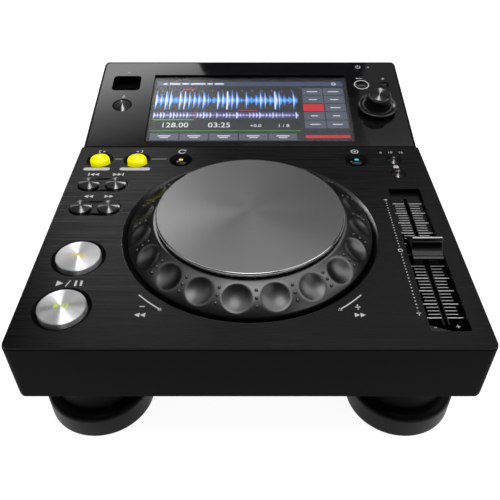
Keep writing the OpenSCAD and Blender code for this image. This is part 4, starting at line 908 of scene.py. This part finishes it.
class PLAYER_OT_jog(bpy.types.Operator):
    """Model the jog wheel: dimpled ring, grip bumps, spun platter and polished rim"""

    bl_idname = "player.jog"
    bl_label = "Jog wheel"

    def execute(self, context):
        sizes = context.scene.player_sizes
        middle = deck_point(0, JOG_Y)
        steps = 192
        self.add_ring(sizes, middle)
        self.add_bumps(sizes, middle)
        rim = turn_shape("platter_rim_turned", self.rim_profile(), steps)
        smooth_faces(rim, 45)
        settle(rim, middle)
        dress(rim, FINISHES["rim_chrome"], "platter", "rim_chrome", "platter_rim")
        face_r = PLATTER_R - 0.75
        face_low = PLATTER_TOP - 0.35
        face_side = PLATTER_TOP - 0.1
        face_top = PLATTER_TOP + 0.02
        face = turn_shape("platter_face_spun", [(0, face_low), (face_r, face_low), (face_r, face_side),
                                                (face_r - 0.12, face_top), (0, face_top)], steps)
        smooth_faces(face)
        settle(face, middle)
        dress(face, FINISHES["platter_metal"], "platter", "platter_metal")
        soften_node("jog_bevel", "jog_hole_bevel", TRIM_ROUND * MM, FINISHES["hole_bevel"], "trim_black")
        return {"FINISHED"}

    def rim_profile(self):
        """A rim that rolls over from the platter's top to its side."""
        flat = 0.25
        roll = PLATTER_R - RIM_IN_R - flat
        profile = [(RIM_IN_R, PLATTER_LOW), (RIM_IN_R, PLATTER_TOP)]
        for step in range(9):
            angle = math.radians(90 - 90 * step / 8)
            profile.append((RIM_IN_R + flat + roll * math.cos(angle),
                            PLATTER_TOP - roll + roll * math.sin(angle)))
        profile += [(PLATTER_R, PLATTER_LOW), (RIM_IN_R, PLATTER_LOW)]
        return profile

    def add_ring(self, sizes, middle):
        """The ring with its skirt, web and hub, and the dimples in its face."""
        face_steps = 36
        bore_r = 3.05
        hub_r = 8.0
        hub_low = -6.7
        web_top = 6.3
        web_low = 4.3
        inner = RING_IN_R - 2.0
        chamfer = 0.3
        under_r = 55.8
        under_low = -1.81
        skirt_in = RING_R - 3.0
        skirt_low = RING_LIP - 6.0
        profile = [(bore_r, web_top), (inner, web_top), (inner, RING_TOP - chamfer),
                   (inner + chamfer, RING_TOP)]
        profile += [ring_face(step / face_steps) for step in range(face_steps + 1)]
        profile += [(RING_R, skirt_low), (skirt_in, skirt_low), (skirt_in, under_low), (under_r, web_low),
                    (hub_r, web_low), (hub_r, hub_low), (bore_r, hub_low), (bore_r, web_top)]
        ring_steps = 480
        edge_round = 0.35 * MM
        ring = turn_shape("jog_ring_dimpled", profile, ring_steps)
        self.press_dimples(ring, sizes)
        round_edges(ring, edge_round, 28)
        settle(ring, middle)
        dress(ring, FINISHES["jog_metal"], "jog", "jog_metal", "jog_ring")

    def press_dimples(self, ring, sizes):
        """Press the finger dimples into the sloping face, with soft edges."""
        depth = sizes.dimple_depth
        radius = sizes.dimple_radius
        soft = 0.22 * MM
        ball = (radius * radius + depth * depth) / (2 * depth)
        mid_r, mid_z = ring_face(0.5)
        group = ring.vertex_groups.new(name="dimples")
        turn_step = math.tau / DIMPLE_COUNT
        first = math.radians(DIMPLE_TURN)
        for vertex in ring.data.vertices:
            place = vertex.co
            reach = math.hypot(place.x, place.y)
            out = reach / MM - RING_IN_R
            down = RING_TOP - place.z / MM
            part = (out * math.cos(RING_SLOPE) + down * math.sin(RING_SLOPE)) / RING_CHORD
            face_r, face_z = ring_face(part)
            if not 0 <= part <= 1 or math.hypot(reach / MM - face_r, place.z / MM - face_z) > 0.05:
                continue
            turn = math.atan2(place.y, place.x)
            nearest = first + round((turn - first) / turn_step) * turn_step
            centre = Vector((mid_r * math.cos(nearest), mid_r * math.sin(nearest), mid_z)) * MM
            away = min((place - centre).length, 0.99 * ball)
            sunk = math.sqrt(ball * ball - away * away) - (ball - depth)
            weight = (sunk + math.hypot(sunk, soft)) / 2 / depth
            group.add([vertex.index], min(1.0, weight), "REPLACE")
        apply_modifier(ring, "DISPLACE", strength=-depth, mid_level=0.0, vertex_group="dimples",
                       direction="NORMAL")

    def add_bumps(self, sizes, middle):
        """Rows of three small domes between the dimples."""
        deselect()
        size = sizes.bump_radius
        bpy.ops.mesh.primitive_uv_sphere_add(segments=14, ring_count=8, radius=size)
        bumps = name_piece("jog_ring_bumps")
        edit_all()
        bpy.ops.mesh.bisect(plane_co=(0, 0, -0.25 * size), plane_no=(0, 0, 1), clear_inner=True,
                            use_fill=True)
        bpy.ops.mesh.select_all(action="SELECT")
        bpy.ops.transform.resize(value=(1, 1, 0.75), center_override=(0, 0, 0))
        bpy.ops.object.mode_set(mode="OBJECT")
        gap_turn = math.radians(DIMPLE_TURN + 180 / DIMPLE_COUNT)
        pitch = 4.0
        copies = [bumps, copy_piece(bumps, "jog_bump_low"), copy_piece(bumps, "jog_bump_high")]
        for row, bump in zip((0, -1, 1), copies):
            reach, height = ring_face(0.5 + row * pitch / RING_CHORD)
            choose(bump)
            bump.rotation_euler = (0, RING_SLOPE, gap_turn)
            bump.location = Vector((reach * math.cos(gap_turn), reach * math.sin(gap_turn), height)) * MM
            bpy.ops.object.transform_apply(location=True, rotation=True, scale=True)
        choose(bumps)
        for bump in copies[1:]:
            bump.select_set(True)
        bpy.ops.object.join()
        edit_all()
        bpy.ops.mesh.spin(steps=DIMPLE_COUNT - 1, dupli=True, angle=math.tau * (1 - 1 / DIMPLE_COUNT),
                          center=(0, 0, 0), axis=(0, 0, 1))
        close_mesh()
        smooth_faces(bumps, 60)
        settle(bumps, middle)
        dress(bumps, FINISHES["jog_metal"], "jog", "jog_metal")


class PLAYER_OT_fader(bpy.types.Operator):
    """Model the tempo fader's cap and print the scale on its plate"""

    bl_idname = "player.fader"
    bl_label = "Tempo fader"

    def execute(self, context):
        self.add_cap(context.scene.player_sizes)
        # Painted shade: the track, the carriage and the memory socket take the dark steel so that the slot
        # and the socket's recess read black
        for node in ("fader_track", "fader_carriage", "memory_socket"):
            NODES[node].material_slots[0].material = FINISHES["dark_steel"]
        line = Marks("fader_cap_line")
        line.bar(0, 0, CAP_W - 0.9, 1.1)
        line.finish(deck_point(FADER_X, FADER_Y, CAP_H - 0.01), 0, FINISHES["ink"], "fader", "trim_black")
        self.print_scale()
        return {"FINISHED"}

    def add_cap(self, sizes):
        """A cap that falls from its ridge to both lips in hollow curves."""
        steps = 14
        reach = (CAP_LEN - CAP_RIDGE) / 2
        fall = CAP_H - CAP_LIP
        half = []
        for step in range(steps + 1):
            angle = math.radians(90 * step / steps)
            half.append((CAP_RIDGE / 2 + reach * (1 - math.cos(angle)), CAP_H - fall * math.sin(angle)))
        outline = [(-y, z) for y, z in reversed(half)] + half
        outline += [(CAP_LEN / 2, CAP_LOW), (-CAP_LEN / 2, CAP_LOW)]
        cap = draw_line("fader_cap_shaped", [(-CAP_W / 2 * MM, y * MM, z * MM) for y, z in outline])
        bpy.ops.mesh.edge_face_add()
        bpy.ops.mesh.extrude_region_move(TRANSFORM_OT_translate={"value": (CAP_W * MM, 0, 0)})
        close_mesh()
        round_edges(cap, sizes.cap_round, 32, 4)
        settle(cap, deck_point(FADER_X, FADER_Y))
        dress(cap, FINISHES["cap_satin"], "fader", "trim_black", "fader_cap")

    def print_scale(self):
        """Lines at both sides of the slot, every fourth one longer, and the slot's lips."""
        scale_len = 94.5
        spaces = 40
        floor = deck_point(FADER_X, FADER_Y, FADER_FLOOR - PRINT_SINK)
        scale = Marks("fader_scale")
        for count in range(0, spaces + 1, 4):
            self.add_pair(scale, scale_len * (count / spaces - 0.5), 7.8, 0.6)
        scale.digits("-       +", 4.6, 0, -53.2)
        scale.finish(floor, 0, FINISHES["ink"], "root", "trim_black")
        fine = Marks("fader_scale_fine")
        for count in range(spaces + 1):
            if count % 4:
                self.add_pair(fine, scale_len * (count / spaces - 0.5), 5.8, 0.5)
        fine.finish(floor, 0, FINISHES["faint_ink"], "root", "trim_black")
        lips = Marks("fader_slot_lips")
        lips.bars(*((side * 1.25, 0, 0.5, 104.0) for side in (-1, 1)))
        lips.finish(floor, 0, FINISHES["trim_black"], "root", "trim_black")

    def add_pair(self, sheet, y, length, width):
        """One line of the scale, at both sides of the slot."""
        inner = 1.55
        for side in (-1, 1):
            sheet.bar(side * (inner + length / 2), y, length, width)


def key_profile(radius, top, dome, guide):
    """Half the outline of a key: domed cap, flange and stem."""
    ball = (radius * radius + dome * dome) / (2 * dome)
    steps = 10
    profile = []
    for step in range(steps + 1):
        reach = radius * step / steps
        profile.append((reach, top - ball + math.sqrt(ball * ball - reach * reach)))
    flange_top = guide - KEY_GAP
    flange_low = flange_top - KEY_FLANGE_T
    flange_r = radius + KEY_FLANGE_W
    profile += [(radius, flange_top), (flange_r, flange_top), (flange_r, flange_low),
                (KEY_STEM_R, flange_low), (KEY_STEM_R, KEY_STEM_LOW), (0, KEY_STEM_LOW)]
    return profile


def add_key(node, shape, material, slot, place, tilt=0.0, shoulder=None):
    """One key from its radius, top, dome and guide, in the stead of its CAD node."""
    key = turn_shape(node + "_cap", key_profile(*shape))
    round_edges(key, shoulder or bpy.context.scene.player_sizes.key_round, 28)
    settle(key, place, tilt)
    dress(key, material, node.removesuffix("_key"), slot, node)


class PLAYER_OT_transport_keys(bpy.types.Operator):
    """Model the spun cue and play keys with their lit marks"""

    bl_idname = "player.transport_keys"
    bl_label = "Cue and play keys"

    def execute(self, context):
        hue = context.scene.player_colours
        top = 2.0
        shape = (12.1, top, 0.5, DISH_GUIDE)
        mark_z = top - PRINT_SINK
        for node, y in (("cue_key", CUE_Y), ("play_key", PLAY_Y)):
            place = deck_point(KEY_X, y)
            add_key(node, shape, spun_key(node, tuple(hue.steel), place), "key_silver", place)
        cue = Marks("cue_key_mark")
        cue.triangle(-1.0, 0, 1.9, 180)
        cue.bar(-3.6, 0, 0.8, 3.2)
        cue.arc(2.6, 0, 1.1, 1.7)
        cue_light = lit_finish("lit_cue_mark", tuple(hue.lit_yellow))
        cue.finish(deck_point(KEY_X, CUE_Y, mark_z), 0, cue_light, "cue", "key_yellow")
        play = Marks("play_key_mark")
        play.triangle(-2.6, 0, 1.9, 0)
        play.bars((1.0, 0, 0.9, 3.2), (2.9, 0, 0.9, 3.2))
        play_light = lit_finish("lit_play_mark", tuple(hue.lit_green))
        play.finish(deck_point(KEY_X, PLAY_Y, mark_z), 0, play_light, "play", "key_yellow")
        soften_node("transport_rings", "transport_key_rings", TRIM_ROUND * MM, FINISHES["dish_black"],
                    "trim_black")
        return {"FINISHED"}


class PLAYER_OT_deck_keys(bpy.types.Operator):
    """Model the loop, track, search, mode and tempo keys with their dishes"""

    bl_idname = "player.deck_keys"
    bl_label = "Deck keys"

    def execute(self, context):
        loop_shape = (6.4, 3.0, 2.0, DISH_GUIDE)
        pair_shape = (6.6, 2.2, 1.0, DISH_GUIDE)
        mode_shape = (4.6, 0.0, 0.9, DISH_GUIDE)
        tempo_shape = (4.5, 0.8, 0.9, DECK_GUIDE)
        loop_round = 1.1 * MM
        yellow = FINISHES["key_yellow"]
        for node, x in (("loop_in_key", LOOP_IN_X), ("loop_out_key", LOOP_OUT_X)):
            add_key(node, loop_shape, yellow, "key_yellow", deck_point(x, ROW_Y), shoulder=loop_round)
        for node, side, y in (("search_back_key", -1, SEARCH_Y), ("search_next_key", 1, SEARCH_Y),
                              ("track_back_key", -1, TRACK_Y), ("track_next_key", 1, TRACK_Y)):
            place = deck_point(KEY_X + side * PAIR_PITCH / 2, y)
            add_key(node, pair_shape, turned_key(node, place), "key_gloss", place)
        for node, x in (("reloop_key", RELOOP_X), ("jog_mode_key", JOG_MODE_X)):
            add_key(node, mode_shape, FINISHES["key_gloss"], "key_gloss", deck_point(x, ROW_Y))
        for node, y in (("tempo_range_key", ROW_Y), ("key_lock_key", KEY_LOCK_Y)):
            place = deck_point(FADER_X, y)
            add_key(node, tempo_shape, turned_key(node, place), "key_gloss", place)
        # The oblong dishes take the lighter grey as painted light on their shaded floor
        for node, name, finish in (("key_dishes", "single_key_dishes", "dish_black"),
                                   ("pair_dishes", "oblong_key_dishes", "dish_grey")):
            soften_node(node, name, TRIM_ROUND * MM, FINISHES[finish], "trim_black")
        self.add_bridges(pair_shape[0] + 0.3)
        return {"FINISHED"}

    def add_bridges(self, gap_r):
        """Fill the floor between the two keys of each pair, row by row, a little under the deck."""
        rows = 20
        row_h = 0.5
        floor_z = -0.2
        bridges = Marks("pair_key_bridges")
        for y in (TRACK_Y, SEARCH_Y):
            for row in range(rows):
                rise = (row - (rows - 1) / 2) * row_h
                width = PAIR_PITCH - 2 * math.sqrt(gap_r * gap_r - rise * rise)
                bridges.bar(KEY_X, y + rise, width, row_h)
        bridges.finish(deck_point(0, 0, floor_z), 0, FINISHES["deck_hairline"], "root", "trim_black")


class PLAYER_OT_panel_keys(bpy.types.Operator):
    """Model the keys on the display panel"""

    bl_idname = "player.panel_keys"
    bl_label = "Panel keys"

    def execute(self, context):
        for node, x, radius in (("back_key", BACK_X, 4.6), ("tag_key", TAG_X, 3.3)):
            shape = (radius, 0.8, 0.9, DECK_GUIDE)
            add_key(node, shape, FINISHES["key_gloss"], "key_gloss", panel_point(x, BACK_U), PANEL_TILT)
        stop_shape = (6.8, 1.4, 2.0, DECK_GUIDE)
        place = panel_point(LEFT_X, STOP_U)
        finish = turned_key("memory_stop_key", place)
        add_key("memory_stop_key", stop_shape, finish, "key_gloss", place, PANEL_TILT)
        return {"FINISHED"}


def grip_radius(height):
    """Radius of the selector's slightly conical grip at a height over the panel."""
    share = (height - GRIP_LOW) / (GRIP_TOP - GRIP_LOW)
    return GRIP_LOW_R + (GRIP_TOP_R - GRIP_LOW_R) * share


class PLAYER_OT_selector(bpy.types.Operator):
    """Model the fluted selector knob"""

    bl_idname = "player.selector"
    bl_label = "Selector"

    def execute(self, context):
        top = 12.9
        cap_r = 8.0
        bore_r = 3.05
        bore_top = top - 2.6
        foot_r = 8.2
        foot_low = 0.9
        lip = [(13.2, 1.8), (13.8, 2.3), (14.0, 3.1), (13.8, 3.8), (13.2, 4.2), (12.5, 4.1), (11.8, 3.6),
               (11.0, 3.2)]
        profile = [(bore_r, foot_low), (foot_r, foot_low), (foot_r, 1.6)] + lip + [(GRIP_LOW_R + 0.3, 3.1)]
        grip_steps = 12
        for step in range(grip_steps + 1):
            height = GRIP_LOW + (GRIP_TOP - GRIP_LOW) * step / grip_steps
            profile.append((grip_radius(height), height))
        profile += [(GRIP_TOP_R - 0.4, GRIP_TOP + 0.3), (cap_r, GRIP_TOP + 0.3), (cap_r, top - 0.5),
                    (cap_r - 0.6, top), (0, top), (0, bore_top), (bore_r, bore_top), (bore_r, foot_low)]
        knob = turn_shape("selector_knob_fluted", profile, 288)
        self.cut_flutes(knob, context.scene.player_sizes.flute_depth)
        round_edges(knob, 0.15 * MM, 32)
        place = panel_point(SELECTOR_X, SELECTOR_U)
        settle(knob, place, PANEL_TILT)
        dress(knob, FINISHES["knob_gloss"], "selector", "key_gloss", "selector_knob")
        disc_low = top - 0.3
        disc_top = top + 0.05
        disc = turn_shape("selector_top_disc", [(0, disc_low), (cap_r - 0.7, disc_low),
                                                (cap_r - 0.8, disc_top), (0, disc_top)])
        smooth_faces(disc)
        settle(disc, place, PANEL_TILT)
        disc_middle = panel_point(SELECTOR_X, SELECTOR_U, top)
        dress(disc, turned_key("selector_top", disc_middle), "selector", "key_gloss")
        return {"FINISHED"}

    def cut_flutes(self, knob, depth):
        """Wave the side of the grip into flutes."""
        flutes = 36
        group = knob.vertex_groups.new(name="flutes")
        for vertex in knob.data.vertices:
            place = vertex.co
            height = place.z / MM
            reach = math.hypot(place.x, place.y) / MM
            if not GRIP_LOW - 0.01 < height < GRIP_TOP + 0.01 or abs(reach - grip_radius(height)) > 0.05:
                continue
            turn = math.atan2(place.y, place.x)
            group.add([vertex.index], 0.5 - 0.5 * math.cos(flutes * turn), "REPLACE")
        apply_modifier(knob, "DISPLACE", strength=-depth, mid_level=0.0, vertex_group="flutes",
                       direction="NORMAL")


class PLAYER_OT_feet(bpy.types.Operator):
    """Model the four feet: rubber pads with rolled edges and plain columns"""

    bl_idname = "player.feet"
    bl_label = "Feet"

    def execute(self, context):
        sizes = context.scene.player_sizes
        shoulder_r = COLUMN_R + 0.8
        pad = turn_shape("foot_pad_1", [(0, 0), (PAD_R, 0), (PAD_R, PAD_H), (shoulder_r, PAD_H + SHOULDER_H),
                                        (0, PAD_H + SHOULDER_H)], 128)
        round_edges(pad, sizes.pad_round, 25, 5)
        column = turn_shape("foot_column_1", [(0, PAD_H + SHOULDER_H), (COLUMN_R, PAD_H + SHOULDER_H),
                                              (COLUMN_R, COLUMN_TOP), (0, COLUMN_TOP)], 128)
        round_edges(column, 0.4 * MM)
        pads = [pad] + [copy_piece(pad, "foot_pad_%d" % count) for count in (2, 3, 4)]
        columns = [column] + [copy_piece(column, "foot_column_%d" % count) for count in (2, 3, 4)]
        for pad, column, (x, y) in zip(pads, columns, FOOT_PLACES):
            place = Vector((x * MM, FRONT_Y + y * MM, 0))
            settle(pad, place)
            dress(pad, FINISHES["foot_rubber"], "root", "foot_rubber", "foot_pads")
            # The columns' darker plastic is painted shade
            settle(column, place)
            dress(column, FINISHES["foot_plastic"], "root", "foot_plastic", "foot_columns")
        return {"FINISHED"}


class PLAYER_OT_marks(bpy.types.Operator):
    """Print plain marks, signs and lamps around the controls"""

    bl_idname = "player.marks"
    bl_label = "Printed marks"

    def execute(self, context):
        self.print_deck()
        self.print_panel()
        self.mark_keys()
        return {"FINISHED"}

    def print_deck(self):
        """The white marks on the deck."""
        ink = Marks("deck_marks")
        # Pills below the loop keys, with their signs above
        sign_y = 172.4
        pill_y = 151.0
        pill_r = 1.7
        for x, length in ((-99.8, 14.0), (-74.9, 16.6)):
            ink.bar(x, pill_y, length, 2 * pill_r)
            ink.arc(x - length / 2, pill_y, 0, pill_r, 90, 180, 12)
            ink.arc(x + length / 2, pill_y, 0, pill_r, 270, 180, 12)
        self.bracket(ink, LOOP_IN_X, sign_y + 0.2, 1)
        self.bracket(ink, LOOP_OUT_X, sign_y + 0.2, -1)
        # Round signs of the reloop and jog mode keys
        ink.arc(RELOOP_X, sign_y, 1.8, 2.6, 40, 290)
        ink.triangle(RELOOP_X + 1.9, sign_y + 1.5, 1.3, -50)
        ink.arc(JOG_MODE_X, sign_y, 2.0, 2.6)
        ink.disc(JOG_MODE_X, sign_y, 0.9)
        # Track and search signs
        track_y = 144.6
        search_y = 120.4
        for side in (-1, 1):
            turn = 90 - 90 * side
            for x in (5.4, 8.4):
                ink.triangle(KEY_X + side * x, track_y, 1.9, turn)
            ink.bar(KEY_X + side * 11.0, track_y, 0.8, 3.3)
            for x in (4.4, 7.3):
                ink.triangle(KEY_X + side * x, search_y, 1.8, turn)
        # Signs of the play key
        play_y = 43.6
        ink.triangle(-98.4, play_y, 2.4, 0)
        ink.bars((-93.6, play_y, 0.6, 4.8, -20), (-89.6, play_y, 1.2, 4.0), (-86.8, play_y, 1.2, 4.0))
        # Direction signs beside the jog wheel
        for start in (223.6, 304.2):
            ink.arc(0, JOG_Y, 76.9, 77.6, start, 12.2)
        ink.triangle(-44.2, 25.0, 1.3, -40)
        ink.triangle(44.2, 25.0, 1.3, 220)
        ink.bars((-53.2, 27.1, 2.6, 0.6), (53.1, 26.7, 2.6, 0.6), (53.1, 28.0, 0.6, 1.0),
                 (53.1, 25.4, 0.6, 1.0))
        for side in (-1, 1):
            for x in (51.8, 54.6):
                ink.triangle(side * x, 21.4, 1.7, 90 - 90 * side)
        # Tempo signs, with a dotted line beside the fader
        tempo_x = 82.3
        minus_y = 117.0
        plus_y = 22.6
        ink.bars((tempo_x, minus_y, 2.2, 0.55), (tempo_x, plus_y, 2.2, 0.55),
                 (tempo_x, plus_y + 1.1, 0.55, 0.9), (tempo_x, plus_y - 1.1, 0.55, 0.9))
        ink.arc(tempo_x, FADER_Y, 0.8, 1.35)
        for count in range(19):
            rise = 3.4 + 2.36 * count
            for side in (-1, 1):
                ink.disc(tempo_x, FADER_Y + side * rise, 0.4, 10)
        for figure, x in (("6", 88.2), ("10", 94.6), ("16", 101.8)):
            ink.digits(figure, 3.4, x, 171.2)
        # Padlock of the key lock
        ink.arc(FADER_X, 154.2, 0.9, 1.4, 0, 180, 12)
        ink.bar(FADER_X, 153.1, 3.4, 2.2)
        place = deck_point(0, 0, -PRINT_SINK)
        ink.finish(place, 0, FINISHES["ink"], "root", "deck_hairline")
        lines = Marks("deck_lines")
        lines.bars((-87.5, 163.0, 5.0, 0.5), (-60.5, 163.0, 10.0, 0.5))
        lines.finish(place, 0, FINISHES["faint_ink"], "root", "deck_hairline")

    def bracket(self, ink, x, y, side):
        """A bracket with an arrow that points into it."""
        ink.bar(x - side * 2.2, y, 0.6, 3.2)
        ink.bar(x - side * 1.6, y + 1.35, 0.8, 0.5)
        ink.bar(x - side * 1.6, y - 1.35, 0.8, 0.5)
        ink.triangle(x + side * 0.9, y, 1.2, 90 - 90 * side)

    def print_panel(self):
        """The white marks on the display panel."""
        ink = Marks("panel_marks")
        # Standby sign
        standby_x = 84.6
        ink.arc(standby_x, 94.4, 1.4, 2.0, 120, 300)
        ink.bar(standby_x, 95.8, 0.5, 2.0)
        # Back, tag and memory signs
        ink.triangle(82.0, 79.4, 0.9, 180)
        ink.bars((84.4, 79.4, 4.0, 0.45), (TAG_X, 79.0, 2.4, 0.45), (TAG_X, 79.0, 0.45, 2.4))
        ink.triangle(LEFT_X, 57.2, 1.3, 90)
        ink.bar(LEFT_X, 55.8, 2.4, 0.5)
        ink.triangle(LEFT_X, 87.2, 1.2, -90)
        place = panel_point(0, 0, -PRINT_SINK)
        ink.finish(place, PANEL_TILT, FINISHES["ink"], "root", "fascia_gloss")
        ring = Marks("back_key_ring")
        ring.arc(BACK_X, BACK_U, 4.95, 5.7, 0, 360, 48)
        ring.finish(place, PANEL_TILT, FINISHES["ink"], "root", "fascia_gloss")

    def mark_keys(self):
        """The small lamps in three keys: name, place, colour, the key's body, and the lamp in the key."""
        middle_lamp = (0, 0.6, 2.6, 1.8)
        corner_lamp = (-1.2, 1.6, 1.6, 1.0)
        lamps = (
            ("reloop_key_lamp", (RELOOP_X, ROW_Y, -0.05), (0.85, 0.62, 0.02), "reloop", middle_lamp),
            ("jog_mode_key_lamp", (JOG_MODE_X, ROW_Y, -0.05), (0.03, 0.55, 0.75), "jog_mode", middle_lamp),
            ("key_lock_key_lamp", (FADER_X, KEY_LOCK_Y, 0.72), (0.22, 0.02, 0.02), "key_lock", corner_lamp),
        )
        for name, place, colour, body, bar in lamps:
            lamp = Marks(name)
            lamp.bar(*bar)
            lamp.finish(deck_point(*place), 0, lit_finish("lit_" + name, colour, 1.3), body, "key_gloss")


class PLAYER_OT_stage(bpy.types.Operator):
    """Add the floor, the soft lights, the world and the camera"""

    bl_idname = "player.stage"
    bl_label = "Stage"

    def execute(self, context):
        self.add_floor()
        self.add_world(context.scene)
        for card in CARDS:
            self.add_card(*card)
        for box in SOFT_BOXES:
            self.add_soft_box(*box)
        for glint in GLINTS:
            self.add_glint(*glint)
        deselect()
        bpy.ops.object.camera_add(location=CAMERA_PLACE, rotation=(math.radians(CAMERA_TILT), 0, 0))
        camera = bpy.context.object
        camera.name = "photo_camera"
        camera.data.sensor_width = CAMERA_SENSOR
        camera.data.lens = CAMERA_LENS
        context.scene.camera = camera
        context.scene.view_settings.view_transform = "Standard"
        return {"FINISHED"}

    def add_floor(self):
        """A white floor: bright to the eye and in reflections, lit like paper elsewhere."""
        deselect()
        bpy.ops.mesh.primitive_circle_add(vertices=96, radius=FLOOR_R, fill_type="NGON")
        floor = name_piece("floor")
        wiring = Wiring("white_floor", grey(FLOOR_TONE), 0.9, 0.0, {"Specular IOR Level": 0.0})
        path = wiring.add("ShaderNodeLightPath").outputs
        seen = wiring.math("MAXIMUM", path["Is Camera Ray"], path["Is Glossy Ray"])
        shown = wiring.math("MAXIMUM", seen, path["Is Transmission Ray"])
        wiring.shader.inputs["Emission Color"].default_value = (1, 1, 1, 1)
        wiring.feed("Emission Strength", wiring.math("MULTIPLY", shown, FLOOR_GLOW))
        floor.data.materials.append(wiring.material)

    def add_world(self, scene):
        """A dim studio, a little lighter at the floor's edge and overhead."""
        world = bpy.data.worlds.new("studio")
        scene.world = world
        world.use_nodes = True
        tree = world.node_tree
        way = tree.nodes.new("ShaderNodeSeparateXYZ")
        sky = tree.nodes.new("ShaderNodeValToRGB")
        set_stops(sky, [(rise, grey(tone)) for rise, tone in SKY_TONES])
        tree.links.new(tree.nodes.new("ShaderNodeTexCoord").outputs["Generated"], way.inputs["Vector"])
        tree.links.new(way.outputs["Z"], sky.inputs["Fac"])
        tree.links.new(sky.outputs["Color"], tree.nodes["Background"].inputs["Color"])

    def add_light(self, name, place, size, radiance, shape="RECTANGLE"):
        """A soft light of one radiance all over its face, which the camera doesn't see."""
        deselect()
        bpy.ops.object.light_add(type="AREA", location=place)
        light = bpy.context.object
        light.name = name
        light.data.shape = shape
        light.data.size, light.data.size_y = size
        fill = math.pi / 4 if shape == "DISK" else 1.0
        light.data.energy = radiance * math.pi * fill * size[0] * size[1]
        light.visible_camera = False
        return light

    def add_soft_box(self, name, around, rise, width, radiance):
        """A round soft light that faces the player."""
        around = math.radians(around)
        rise = math.radians(rise)
        way = Vector((math.sin(around) * math.cos(rise), math.cos(around) * math.cos(rise), math.sin(rise)))
        place = Vector((0, 0, DECK_Z)) + BOX_REACH * way
        light = self.add_light(name, place, (width, width), radiance, "DISK")
        light.rotation_euler = way.to_track_quat("Z", "Y").to_euler()

    def add_glint(self, name, place, size, radiance, aim, pieces):
        """A narrow light that shines on a few turned pieces alone."""
        light = self.add_light(name, place, size, radiance)
        light.rotation_euler = (Vector(place) - Vector(aim)).to_track_quat("Z", "Y").to_euler()
        lit = bpy.data.collections.new(name + "_pieces")
        for piece in pieces:
            lit.objects.link(bpy.data.objects[piece])
        light.light_linking.receiver_collection = lit

    def add_card(self, name, place, size, radiance, turns, fade):
        """A soft rectangular light that fades along its length."""
        light = self.add_light(name, place, size, radiance)
        light.rotation_euler = [math.radians(turn) for turn in turns]
        light.data.use_nodes = True
        tree = light.data.node_tree
        parts = tree.nodes.new("ShaderNodeSeparateXYZ")
        ramp = tree.nodes.new("ShaderNodeValToRGB")
        set_stops(ramp, [(along, grey(share)) for along, share in fade])
        face = tree.nodes.new("ShaderNodeNewGeometry")
        tree.links.new(face.outputs["Parametric"], parts.inputs["Vector"])
        tree.links.new(parts.outputs["Y"], ramp.inputs["Fac"])
        tree.links.new(ramp.outputs["Color"], tree.nodes["Emission"].inputs["Color"])


class PLAYER_PT_build(bpy.types.Panel):
    """Lists the steps that build the player"""

    bl_idname = "PLAYER_PT_build"
    bl_label = "Media player"
    bl_space_type = "VIEW_3D"
    bl_region_type = "UI"
    bl_category = "Media player"

    def draw(self, context):
        for step in STEPS:
            self.layout.operator(step.bl_idname, text=step.bl_label)


STEPS = (
    PLAYER_OT_case,
    PLAYER_OT_screen,
    PLAYER_OT_jog,
    PLAYER_OT_fader,
    PLAYER_OT_transport_keys,
    PLAYER_OT_deck_keys,
    PLAYER_OT_panel_keys,
    PLAYER_OT_selector,
    PLAYER_OT_feet,
    PLAYER_OT_marks,
    PLAYER_OT_stage,
)
CLASSES = (PlayerSizes, PlayerColours) + STEPS + (PLAYER_PT_build,)


def register():
    """Add the steps, their panel and their settings to Blender."""
    for kind in CLASSES:
        bpy.utils.register_class(kind)
    bpy.types.Scene.player_sizes = PointerProperty(type=PlayerSizes)
    bpy.types.Scene.player_colours = PointerProperty(type=PlayerColours)


def unregister():
    """Take them out again."""
    del bpy.types.Scene.player_colours
    del bpy.types.Scene.player_sizes
    for kind in reversed(CLASSES):
        bpy.utils.unregister_class(kind)


def main():
    """Build the player step by step."""
    register()
    bpy.ops.player.case()
    bpy.ops.player.screen()
    bpy.ops.player.jog()
    bpy.ops.player.fader()
    bpy.ops.player.transport_keys()
    bpy.ops.player.deck_keys()
    bpy.ops.player.panel_keys()
    bpy.ops.player.selector()
    bpy.ops.player.feet()
    bpy.ops.player.marks()
    bpy.ops.player.stage()


if __name__ == "__main__":
    main()
